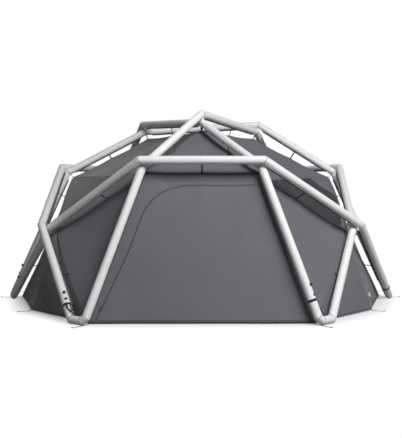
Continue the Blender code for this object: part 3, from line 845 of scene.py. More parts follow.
class Arch:
    """One sleeve's line: its banded leg, its four crossings and its far foot with a stub."""

    def __init__(self, dome: Dome, steep: bool, index: int) -> None:
        """Works out the line.

        Args:
            dome: The dome's sizes.
            steep: True for an arch over the crown, False for one round the side.
            index: Which third of the dome it belongs to.
        """
        turn = THIRD * index
        rise = dome.rise()
        self.dome = dome
        self.steep = steep
        self.start_azimuth = turn + (TWELFTH if steep else -TWELFTH)
        self.far_azimuth = turn + (-5 * TWELFTH if steep else 5 * TWELFTH)
        self.crossings = dome.steep(turn, rise) if steep else dome.low(turn, rise)
        if steep:
            stub = dome.knee(turn - math.pi)
            stub += dome.outward(stub) * rise
        else:
            stub = dome.shoulder(turn + THIRD + dome.shoulder_spread)
            stub -= dome.outward(stub) * rise
        own, other = (dome.crown_leg, dome.side_leg) if steep else (dome.side_leg, dome.crown_leg)
        self.fittings = own
        self.vee = dome.foot(self.start_azimuth)
        far = dome.foot(self.far_azimuth)
        self.leg = (self.crossings[0] - self.vee).normalized()
        height = dome.foot_axis_height
        self.leg_start = self.at_height(self.vee, self.crossings[0], height)
        self.leg_end = self.at_height(far, self.crossings[-1], height)
        stub_end = self.at_height(far, stub, height)
        if steep:
            ground = [*self.eased(self.crossings[-1], self.leg_end, stub_end), stub_end]
        else:
            ground = [self.leg_end, *self.eased(self.leg_end, stub_end, stub)]
        self.band = self.vee + self.leg * own.band
        self.path = [self.band, *self.crossings, *ground, far + (stub - far).normalized() * other.band]
        facing = polar(1, self.start_azimuth + own.turn, 0)
        self.facing = (facing - self.leg * facing.dot(self.leg)).normalized()

    def eased(self, before: Vector, corner: Vector, after: Vector) -> list[Vector]:
        """The two ends of the short tube that cuts off a corner."""
        return [corner + (end - corner).normalized() * self.dome.foot_bend_cut for end in (before, after)]

    @staticmethod
    def at_height(low: Vector, high: Vector, height: float) -> Vector:
        """The point of a line at a height."""
        return low + (high - low) * ((height - low.z) / (high.z - low.z))

    def fly_stations(self) -> list[Vector]:
        """The fly's corners that lie under the arch's own foot, its crossings and its far foot."""
        dome = self.dome
        turn = self.start_azimuth - (TWELFTH if self.steep else -TWELFTH)
        nodes = dome.steep(turn, 0) if self.steep else dome.low(turn, 0)
        start, end = dome.hem_corner(self.start_azimuth), dome.hem_corner(self.far_azimuth)
        return [start, *[dome.drawn_in(node) for node in nodes], end]

    def spans(self) -> list[tuple[Vector, Vector, Vector, Vector]]:
        """Each tube's two ends with the two fly corners of the ridge under it."""
        tube = [self.leg_start, *self.crossings, self.leg_end]
        under = self.fly_stations()
        return [(tube[i], tube[i + 1], under[i], under[i + 1]) for i in range(5)]


@dataclass
class AirTubes:
    """The six sleeves, drawn tight by the bladders, with pinched and stitched mitres."""

    dome: Dome
    arches: list[Arch]
    sides: int = 48
    ring_gap: float = 0.014
    seam_depth: float = 0.0016
    seam_width: float = 0.0042
    seam_core: float = 0.55
    wrinkle_depth: float = 0.0022
    wrinkle_reach: float = 0.055
    wrinkle_start: float = 0.006
    wrinkle_gain: float = 1.4
    wrinkle_count: int = 15
    wrinkle_drift: float = 9
    ripple_depth: float = 0.00035
    ripple_waves: tuple[int, int, int] = (3, 21, 17)
    near_seam: tuple[float, ...] = (0.0015, 0.003, 0.005, 0.008, 0.012, 0.018, 0.026, 0.036, 0.048)
    bladder_gap: float = 0.0014
    rings: dict[int, Array] = field(default_factory=dict)

    def build(self) -> None:
        """Builds and dresses every sleeve and the bladder inside each pair."""
        for number, arch in enumerate(self.arches, 1):
            kind, place = ("crown", number) if arch.steep else ("side", number - 3)
            piece = self.sleeve(f"{kind}_air_tube_{place}", arch, number)
            dress(piece, Finish.SLEEVE, SHELL, [f"{kind}_arch_sleeve_{place}"], 50.0)
        for index in range(3):
            piece = self.bladder(f"bladder_loop_{index + 1}", 4 + index, 1 + (index + 1) % 3)
            dress(piece, Finish.FILM, SHELL, [f"air_loop_bladder_{index + 1}"])

    def bladder(self, name: str, first: int, second: int) -> Piece:
        """The airtight loop inside two sleeves.

        Args:
            name: The piece's name.
            first: The number of the side arch's sleeve.
            second: The number of the crown arch's sleeve.

        Returns:
            The loop.
        """
        one, two = self.rings[first][::2], self.rings[second][::2]
        gaps = np.linalg.norm(two[0] - one[-1][0], axis=1)
        two = np.roll(two, -int(np.argmin(gaps)), axis=1)
        back = int(np.argmin(np.linalg.norm(one[0] - two[-1][0], axis=1)))
        share = np.linspace(0, 1, len(two))
        turned = np.array([self.eased_turn(ring, s * back) for ring, s in zip(two, share)])
        return skin(name, np.concatenate((one, turned))[:, ::3], True)

    @staticmethod
    def eased_turn(ring: Array, shift: float) -> Array:
        """A ring whose numbering is turned by a part of a step."""
        low = math.floor(shift)
        part = shift - low
        return np.roll(ring, low, axis=0) * (1 - part) + np.roll(ring, low + 1, axis=0) * part

    def shares(self, length: float) -> list[float]:
        """Where the rings of a tube stand, as shares of its length, closer together near its seams."""
        near = [d / length for d in self.near_seam if d < length * 0.45]
        last = near[-1]
        count = max(1, round((1 - 2 * last) * length / self.ring_gap))
        middle = [last + (1 - 2 * last) * i / count for i in range(1, count)]
        return [0.0, *near, *middle, *[1 - n for n in reversed(near)]]

    def sleeve(self, name: str, arch: Arch, seed: int) -> Piece:
        """Builds one sleeve as a closed skin with its seam and UV data.

        Args:
            name: The piece's name.
            arch: Its line.
            seed: Sets its own pattern of wrinkles.

        Returns:
            The sleeve.
        """
        radius = self.dome.tube_radius
        path = list(arch.path)
        path[0] = path[0] + (path[1] - path[0]).normalized() * self.dome.touch / 2
        path[-1] = path[-1] + (path[-2] - path[-1]).normalized() * self.dome.touch / 2
        around, drift, beat = self.ripple_waves
        angles = np.arange(self.sides) * math.tau / self.sides
        aside = (path[1] - path[0]).normalized().cross(arch.facing)
        ring = np.array(hoop(path[0], arch.facing, aside, radius, self.sides))
        points, linings, seams, travels = [], [], [], []
        travelled = 0.0
        rng = np.random.default_rng(seed)
        for i, (base, end) in enumerate(zip(path, path[1:])):
            last = i + 2 == len(path)
            way = (end - base).normalized()
            after = way if last else (path[i + 2] - end).normalized()
            plane, step, start = np.array((way + after).normalized()), np.array(way), np.array(base)
            reach = ((np.array(end) - ring) @ plane) / (step @ plane)
            length = (end - base).length
            phases = rng.uniform(0, math.tau, 4)
            for share in self.shares(length) + ([1.0] if last else []):
                spot = ring + np.outer(reach * share, step)
                axis = start + np.outer((spot - start) @ step, step)
                spoke = (spot - axis) / radius
                depth, seam = np.zeros(self.sides), np.zeros(self.sides)
                seamed = [(i, reach * share, phases[0])] if i else []
                if not last:
                    seamed.append((i + 1, reach * (1 - share), phases[1]))
                for bend, gap, phase in seamed:
                    seam = np.maximum(seam, np.exp(-((gap / (self.seam_width * self.seam_core)) ** 2)))
                    depth += np.exp(-((gap / self.seam_width) ** 2)) * self.seam_depth
                    depth += self.wrinkles(angles, spoke @ self.bow(path, bend), gap, phase)
                ripple = np.sin(angles * around + phases[2] + travelled * drift)
                ripple *= np.sin(share * length * beat + phases[3])
                depth += self.ripple_depth * (1 + ripple)
                points.append(axis + spoke * (radius - depth)[:, None])
                linings.append(axis + spoke * (radius - depth - self.bladder_gap)[:, None])
                seams.append(seam)
                travels.append(travelled + share * length)
            ring = ring + np.outer(reach, step)
            travelled += length
        self.rings[seed] = np.array(linings)
        girth = np.arange(self.sides + 1) * (math.tau * radius / self.sides)
        piece = skin(name, np.array(points), spread=(girth, np.array(travels)))
        near = piece.data.attributes.new("seam", "FLOAT", "POINT")
        near.data.foreach_set("value", np.concatenate(seams))
        return piece

    def wrinkles(self, angles: Array, inner: Array, gap: Array, phase: float) -> Array:
        """How deep a bend wrinkles the cloth.

        Args:
            angles: Where each point of the ring is round the tube.
            inner: How far each point looks to the inside of the bend.
            gap: How far each point is from the seam.
            phase: Shifts the pattern.

        Returns:
            The depth at each point.
        """
        fade = np.exp(-gap / self.wrinkle_reach) * (1 - np.exp(-gap / self.wrinkle_start))
        drift = self.wrinkle_drift * gap / self.wrinkle_reach
        wave = 0.5 + 0.5 * np.sin(angles * self.wrinkle_count + phase + drift)
        return self.wrinkle_depth * np.clip(inner * self.wrinkle_gain, 0, 1) * fade * wave

    @staticmethod
    def bow(path: Sequence[Vector], i: int) -> Array:
        """The way to the inside of the bend at a path's point."""
        before = (path[i] - path[i - 1]).normalized()
        after = (path[i + 1] - path[i]).normalized()
        return np.array((after - before).normalized())


@dataclass
class Ridge:
    """A line between two of the fly's corners, drawn in between its ties."""

    start: Vector
    end: Vector
    sag: float
    way: Vector
    tied: bool = True
    tie: float = 0.5
    even: bool = False
    fullness: float = 0.7

    def pull(self, shares: Array) -> Array:
        """How the line is drawn in at shares of its length."""
        bow = np.sin(math.pi * shares)
        if self.even:
            bow = np.abs(bow) ** self.fullness
        elif self.tied:
            even = np.where(shares < self.tie, shares / self.tie / 2, 1 - (1 - shares) / (1 - self.tie) / 2)
            bow = 0.4 * bow + 0.6 * np.abs(np.sin(math.tau * even)) ** 0.9
        return np.outer(bow * self.sag, np.array(self.way))

    def point(self, share: float) -> Vector:
        """The drawn-in line's point at a share of its length."""
        return self.start.lerp(self.end, share) + Vector(self.pull(np.array([share]))[0])


def nearest(spots: Array, a: Array, b: Array) -> tuple[Array, Array]:
    """How far along the line from a to b each spot lies, as a share, and how far from the line."""
    line = b - a
    along = np.clip((spots - a) @ line / max(float(line @ line), 1e-12), 0, 1)
    return along, np.linalg.norm(spots - a - np.outer(along, line), axis=1)


def headings(line: Array) -> tuple[Array, Array]:
    """The way ahead and the way to the left at each point of a flat line."""
    ways = np.gradient(line, axis=0)
    ways /= np.linalg.norm(ways, axis=1)[:, None]
    return ways, np.column_stack((-ways[:, 1], ways[:, 0]))


def resampled(line: Array, spacing: float) -> Array:
    """A flat line's points at an even spacing."""
    travel = np.concatenate(([0.0], np.cumsum(np.hypot(*np.diff(line, axis=0).T))))
    at = np.linspace(0, travel[-1], max(2, round(travel[-1] / spacing) + 1))
    return np.column_stack([np.interp(at, travel, line[:, k]) for k in (0, 1)])


class Facet:
    """A flat cut of the fly with the slight sags, drawn edges and tension folds of taut cloth."""

    corner_fold: float = 0.0042
    tie_fold: float = 0.0024
    fold_reach: float = 0.12
    wave_count: int = 7
    wave_height: float = 0.0007
    wave_pitch: float = 1.3
    stiff_edge: float = 0.018
    billow_edge: float = 0.11

    def __init__(
        self, corners: Sequence[Vector], ridges: Sequence[Ridge], seed: int, billow: float, folds: float = 1.0
    ) -> None:
        """Sets up the facet.

        Args:
            corners: Its corners, anticlockwise as seen from outside.
            ridges: The ridge after each corner.
            seed: Sets its own pattern of folds.
            billow: How far its middle hangs in.
            folds: How strong its folds are.
        """
        self.folds = folds
        self.corners = list(corners)
        self.ridges = list(ridges)
        self.billow = billow
        self.origin = self.corners[0]
        self.across = (self.corners[1] - self.corners[0]).normalized()
        normal = Vector((0, 0, 0))
        for a, b in zip(self.corners[1:], self.corners[2:]):
            normal += (a - self.origin).cross(b - self.origin)
        self.normal = normal.normalized()
        self.up = self.normal.cross(self.across)
        self.flat = np.array([self.flatten(c) for c in self.corners])
        rng = np.random.default_rng(seed)
        self.waves = [
            (rng.uniform(2, 9, 2) * rng.choice((-1, 1), 2), rng.uniform(0, math.tau))
            for _ in range(self.wave_count)
        ]
        self.anchors = [
            (spot, self.corner_fold, rng.integers(9, 14), rng.uniform(0, math.tau)) for spot in self.flat
        ]
        for i, ridge in enumerate(self.ridges):
            if ridge.tied:
                start, end = self.edge(i)
                middle = start + (end - start) * (1 - ridge.tie if self.backwards(i) else ridge.tie)
                self.anchors.append((middle, self.tie_fold, rng.integers(8, 12), rng.uniform(0, math.tau)))

    def edge(self, i: int) -> tuple[Array, Array]:
        """The two ends of an edge of the flat cut."""
        return self.flat[i], self.flat[(i + 1) % len(self.flat)]

    def backwards(self, i: int) -> bool:
        """True where an edge runs against its ridge."""
        return (self.ridges[i].start - self.corners[i]).length > 0.001

    def flatten(self, point: Vector) -> Pair:
        """A point's place on the facet's plane."""
        step = point - self.origin
        return step.dot(self.across), step.dot(self.up)

    def place(self, spots: Array, proud: float | Array = 0.0) -> Array:
        """Where spots of the flat cut lie on the hung cloth.

        Args:
            spots: Pairs on the facet's plane.
            proud: A height above the cloth.

        Returns:
            The points.
        """
        spots = np.atleast_2d(np.asarray(spots, dtype=float))
        base = np.array(self.origin) + np.outer(spots[:, 0], self.across) + np.outer(spots[:, 1], self.up)
        weights, pulls = [], []
        bubble = np.ones(len(spots))
        least = np.full(len(spots), FAR)
        for i, ridge in enumerate(self.ridges):
            along, gap = nearest(spots, *self.edge(i))
            weights.append(1 / (gap**2 + 1e-9))
            pulls.append(ridge.pull(1 - along if self.backwards(i) else along))
            bubble *= 1 - np.exp(-gap / self.billow_edge)
            least = np.minimum(least, gap)
        total = np.sum(weights, axis=0)
        pulled = sum(w[:, None] * p for w, p in zip(weights, pulls)) / total[:, None]
        depth = -self.billow * bubble
        soft = 1 - np.exp(-((least / self.stiff_edge) ** 2))
        for wave, phase in self.waves:
            depth += self.wave_height * self.folds * soft * np.sin(spots @ wave * self.wave_pitch + phase)
        for spot, height, lobes, phase in self.anchors:
            step = spots - spot
            far = np.hypot(step[:, 0], step[:, 1])
            lobe = np.sin(lobes * np.arctan2(step[:, 1], step[:, 0]) + phase)
            depth += height * self.folds * soft * np.exp(-far / self.fold_reach) * lobe
        return base + pulled + np.outer(depth + proud, self.normal)

    def strip(
        self, name: str, line: Array, width: float, rise: float, thickness: float, aside: float = 0.0
    ) -> Piece:
        """A flat strip sewn on the cloth.

        Args:
            name: The piece's name.
            line: Its line on the facet's plane.
            width: Its width.
            rise: How far it stands off the cloth.
            thickness: Its thickness.
            aside: How far its middle is to the left of the line.

        Returns:
            The strip.
        """
        left = headings(line)[1]
        edges = [line + left * (aside - width / 2), line + left * (aside + width / 2)]
        return self.band(name, edges, rise, thickness)

    def band(self, name: str, edges: Sequence[Array], rise: float | Array, thickness: float) -> Piece:
        """A piece between two lines of the facet's plane.

        Args:
            name: The piece's name.
            edges: The two lines.
            rise: How far it stands off the cloth, all along or at each point.
            thickness: Its thickness.

        Returns:
            The piece.
        """
        low, high = ([self.place(edge, rise + up) for edge in edges] for up in (0, thickness))
        return skin(name, np.stack([low[0], low[1], high[1], high[0]], axis=1))

    def edge_line(self, i: int, spacing: float) -> Array:
        """Points along an edge of the flat cut, from its corner i on."""
        a, b = self.edge(i)
        return a + np.outer(np.linspace(0.0, 1.0, max(2, round(float(np.hypot(*(b - a))) / spacing))), b - a)

    def inset(self, margins: Sequence[float]) -> list[Array]:
        """The flat outline drawn in at each edge by its own margin."""
        result = []
        count = len(self.flat)
        for i in range(count):
            before = self.flat[i] - self.flat[i - 1]
            after = self.flat[(i + 1) % count] - self.flat[i]
            n0 = np.array((-before[1], before[0])) / np.hypot(*before)
            n1 = np.array((-after[1], after[0])) / np.hypot(*after)
            lap = float(n0 @ n1)
            d0, d1 = margins[i - 1], margins[i]
            a, b = (d0 - lap * d1) / (1 - lap * lap), (d1 - lap * d0) / (1 - lap * lap)
            result.append(self.flat[i] + n0 * a + n1 * b)
        return result


class ClothCutter:
    """Cuts and hangs sheets of cloth on facets."""

    map_step: float = 3.0

    def __init__(self, spacing: float, thickness: float) -> None:
        """Sets the mesh's spacing and the cloth's thickness."""
        self.spacing = spacing
        self.thickness = thickness

    def outline(self, corners: Sequence[Array]) -> Array:
        """A closed outline with points no further apart than the spacing."""
        points = []
        for i, corner in enumerate(corners):
            following = corners[(i + 1) % len(corners)]
            steps = max(1, math.ceil(float(np.hypot(*(following - corner))) / self.spacing))
            points += [corner + (following - corner) * s / steps for s in range(steps)]
        return np.array(points)

    def fill(self, outline: Array) -> tuple[Array, list[tuple[int, ...]], float]:
        """Fills an outline with an even net of triangles.

        Args:
            outline: The outline's points, anticlockwise.

        Returns:
            The points, the triangles, anticlockwise, and their whole area.
        """
        low, high = outline.min(axis=0), outline.max(axis=0)
        step = self.spacing
        grid = []
        for r, y in enumerate(np.arange(low[1], high[1], step * math.sqrt(0.75))):
            x = np.arange(low[0] + (step / 2 if r % 2 else 0), high[0], step)
            grid.append(np.column_stack((x, np.full(len(x), y))))
        spots = np.concatenate(grid)
        within = np.zeros(len(spots), dtype=bool)
        least = np.full(len(spots), FAR)
        for a, b in zip(outline, np.roll(outline, -1, axis=0)):
            if a[1] != b[1]:
                at = a[0] + (spots[:, 1] - a[1]) / (b[1] - a[1]) * (b[0] - a[0])
                within ^= ((a[1] > spots[:, 1]) != (b[1] > spots[:, 1])) & (spots[:, 0] < at)
            least = np.minimum(least, nearest(spots, a, b)[1])
        every = np.concatenate((outline, spots[within & (least > step * 0.5)]))
        made = delaunay_2d_cdt([Vector(p) for p in every], [], [list(range(len(outline)))], 1, 1e-7)
        flat = np.array([tuple(v) for v in made[0]])
        triangles, area = [], 0.0
        for triangle in made[2]:
            a, b, c = (flat[i] for i in triangle)
            size = float((b[0] - a[0]) * (c[1] - a[1]) - (b[1] - a[1]) * (c[0] - a[0])) / 2
            area += abs(size)
            triangles.append(tuple(triangle) if size > 0 else tuple(triangle)[::-1])
        return flat, triangles, area

    def sheet(self, name: str, cuts: Sequence[tuple[Facet, Array]]) -> tuple[Piece, float]:
        """Hangs one sheet, cut on one facet or folded over two.

        Args:
            name: The piece's name.
            cuts: Each facet with the outline on it.

        Returns:
            The sheet and its flat area.
        """
        points, faces, flats = [], [], []
        offset, area = 0, 0.0
        for facet, outline in cuts:
            flat, triangles, size = self.fill(outline)
            points.append(facet.place(flat))
            flats.append(flat + np.array((0.0, self.map_step * len(flats))))
            faces += [tuple(i + offset for i in triangle) for triangle in triangles]
            offset += len(flat)
            area += size
        piece = from_mesh(name, np.concatenate(points), faces)
        map_flat(piece, np.concatenate(flats))
        if len(cuts) > 1:
            apply_modifier(piece, "WELD", merge_threshold=0.00005)
        thicken(piece, self.thickness)
        return piece, area


@dataclass
class Fly:
    """The fly: its panels, front door, seams and hems."""

    dome: Dome
    spacing: float = 0.022
    thickness: float = 0.0006
    seam_inset: float = 0.0005
    ridge_sag: float = 0.013
    door_side_sag: float = 0.004
    fold_sag: float = 0.010
    hem_sag: float = 0.016
    near_hem_sag: float = 0.004
    front_leg_pull: float = -0.034
    side_leg_pull: float = -0.013
    side_eave_pull: float = -0.022
    front_limit: float = -1.0
    low_height: float = 0.1
    knee_height: float = 0.8
    knee_tie: float = 0.58
    tape_width: float = 0.010
    fold_width: float = 0.005
    hem_width: float = 0.017
    tape_thickness: float = 0.0008
    tape_crown: float = 1.3
    tape_trim: float = 0.004
    strip_rise: float = 0.0002
    strip_step: float = 0.03
    ridges: dict = field(default_factory=dict)
    facets: dict = field(default_factory=dict)

    def ridge(self, a: Vector, b: Vector, sag: float, tied: bool = True, way: Vector | None = None) -> Ridge:
        """The ridge between two corners, made once for both of its panels."""
        key = tuple(sorted((tuple(round(c, 4) for c in a), tuple(round(c, 4) for c in b))))
        if key not in self.ridges:
            inward = way or -self.dome.outward((a + b) / 2)
            tie = 0.5
            low, high = sorted((a.z, b.z))
            front = min(a.y, b.y) < self.front_limit
            even = False
            if low > self.low_height and low < self.knee_height < high:
                tie = self.knee_tie if a.z < b.z else 1 - self.knee_tie
                if tied and not front:
                    sag, even = self.side_eave_pull, True
            elif tied and low < self.low_height and high < self.knee_height:
                sag, even = (self.front_leg_pull if front else self.side_leg_pull), True
            self.ridges[key] = Ridge(a.copy(), b.copy(), sag, inward, tied, tie, even)
        return self.ridges[key]

    def facet(
        self, name: str, corners: Sequence[Vector], kinds: str, billow: float = 0.010, folds: float = 1.0
    ) -> Facet:
        """Makes a facet.

        Args:
            name: Its name.
            corners: Its corners.
            kinds: A letter for the edge after each corner: r tied ridge, d tied ridge beside the door,
                s plain seam, h curved hem, n nearly straight hem, f straight hem.
            billow: How far its middle hangs in.
            folds: How strong its folds are.

        Returns:
            The facet.
        """
        sags = {"r": self.ridge_sag, "d": self.door_side_sag, "s": self.fold_sag, "h": self.hem_sag,
                "n": self.near_hem_sag, "f": 0.0}
        ridges = []
        for kind, a, b in zip(kinds, corners, [*corners[1:], corners[0]]):
            way = None
            if kind in "hn":
                way = UP.cross(b - a).normalized()
                way = way if way.dot(a + b) < 0 else -way
            ridges.append(self.ridge(a, b, sags[kind], kind in "rd", way))
        made = Facet(corners, ridges, len(self.facets) + 11, billow, folds)
        self.facets[name] = made
        return made

    def cut(
        self, cutter: ClothCutter, part: str, place: str, pieces: Sequence[tuple[str, Sequence[Vector], str]]
    ) -> None:
        """Cuts, hangs and dresses one panel.

        Args:
            cutter: Cuts the cloth.
            part: The panel's kind.
            place: Where on the tent it is, empty for the only one of its kind.
            pieces: The name, corners and kinds of edges of its one or two facets.
        """
        free = "hnfs" if len(pieces) > 1 else "hnf"
        cuts = []
        for name, corners, kinds in pieces:
            facet = self.facet(name, corners, kinds)
            margins = [0.0 if kind in free else self.seam_inset for kind in kinds]
            cuts.append((facet, cutter.outline(facet.inset(margins))))
        piece, area = cutter.sheet(f"fly_{part}_{place}".rstrip("_"), cuts)
        dress(piece, Finish.FLY, SHELL, [f"{part}_panel_{place}".rstrip("_")])
        self.declare(piece, cuts, area)

    @staticmethod
    def declare(piece: Piece, cuts: Sequence[tuple[Facet, Array]], area: float) -> None:
        """Does nothing: takes a panel, its cuts and its flat area, and leaves them as they are."""

    def build(self, cutter: ClothCutter) -> None:
        """Builds every panel but the front."""
        dome, spread = self.dome, self.dome.shoulder_spread

        def crown(azimuth: float) -> Vector:
            """A fly corner under the crown."""
            return dome.drawn_in(dome.crown(azimuth))

        def shoulder(azimuth: float) -> Vector:
            """A fly corner under the shoulder."""
            return dome.drawn_in(dome.shoulder(azimuth))

        self.cut(cutter, "top", "", [("top", [crown(THIRD * i) for i in range(3)], "rrr")])
        for index, side in enumerate(("front", "right", "left")):
            turn = THIRD * index
            left, right = shoulder(turn - spread), shoulder(turn + spread)
            self.cut(cutter, "gable", side, [(f"gable_{side}", [left, right, crown(turn)], "rrr")])
            wall = [dome.hem_corner(turn - TWELFTH), dome.hem_corner(turn + TWELFTH), right, left]
            if index:
                self.cut(cutter, "wall", side, [(f"wall_{side}", wall, "frrr")])
            else:
                self.facet("wall_front", wall, "fdrd", 0.005, 0.4)
        for index, side in enumerate(("right", "rear", "left")):
            turn = THIRD * index
            middle = turn + THIRD / 2
            near, far = shoulder(turn + spread), shoulder(turn + THIRD - spread)
            near_foot, far_foot = dome.hem_corner(turn + TWELFTH), dome.hem_corner(turn + 3 * TWELFTH)
            bend, hem = dome.drawn_in(dome.knee(middle)), dome.hem_middle(middle)
            upper, lower = [far, crown(turn + THIRD), crown(turn), near], [near, bend, far]
            self.cut(cutter, "roof", side, [(f"roof_{side}", upper, "rrrs"), (f"eave_{side}", lower, "rrs")])
            skirts = [(f"skirt_{side}_far", [hem, far_foot, bend], "hrs"),
                      (f"skirt_{side}_near", [bend, near_foot, hem], "rns")]
            self.cut(cutter, "skirt", side, skirts)
            for end, flank in (("near", [near_foot, bend, near]), ("far", [far_foot, far, bend])):
                self.cut(cutter, "flank", f"{side}_{end}", [(f"flank_{side}_{end}", flank, "rrr")])

    def owners(self, ridge: Ridge) -> list[tuple[Facet, int]]:
        """The facets that meet at a ridge, with the number of their edge there."""
        edges = [(facet, i, own) for facet in self.facets.values() for i, own in enumerate(facet.ridges)]
        return [(facet, i) for facet, i, own in edges if own is ridge]

    def tape(self, ridge: Ridge) -> Piece:
        """The bound seam over a ridge, which follows the cloth on both sides."""
        width = self.tape_width if ridge.tied else self.fold_width
        count = max(3, round((ridge.end - ridge.start).length / self.strip_step))
        shares = np.linspace(self.tape_trim, 1 - self.tape_trim, count)
        low, high = self.strip_rise, self.tape_thickness
        sides = []
        for facet, i in self.owners(ridge):
            a, b = facet.edge(i)
            inward = np.array((a[1] - b[1], b[0] - a[0])) / np.hypot(*(b - a))
            edge = a + np.outer(1 - shares if facet.backwards(i) else shares, b - a)
            wide = edge + inward * width
            sides.append([facet.place(wide, low), facet.place(edge, low), facet.place(wide, high),
                          facet.place(edge, high * self.tape_crown)])
        one, two = sides
        rings = [one[0], (one[1] + two[1]) / 2, two[0], two[2], (one[3] + two[3]) / 2, one[2]]
        return skin("tape", np.stack(rings, axis=1))

    def hem(self, facet: Facet, line: Array) -> Piece:
        """A doubled hem along a line of a facet's flat cut, on its left."""
        width = self.hem_width
        return facet.strip("hem", line, width, self.strip_rise, self.tape_thickness, width / 2)

    def bind(self) -> None:
        """Binds every ridge and every hem but the front one."""
        tapes, hems, front = [], [], []
        for ridge in self.ridges.values():
            owners = self.owners(ridge)
            if len(owners) == 2:
                names = {facet for facet, _ in owners}
                # The ridge between the front wall and the front gable gets the near-black seam tape, painted
                # shade in the groove along that ridge; the other ridges get the binding.
                dark = self.facets["wall_front"] in names and self.facets["gable_front"] in names
                (front if dark else tapes).append(self.tape(ridge))
            elif owners[0][0] is not self.facets["wall_front"]:
                facet, i = owners[0]
                hems.append(self.hem(facet, facet.edge_line(i, self.strip_step)))
        dress(join("ridge_tapes", tapes), Finish.BINDING, crease=20.0)
        dress(join("front_ridge_shade_tape", front), Finish.SEAM, crease=20.0)
        dress(join("skirt_hems", hems), Finish.HEM)


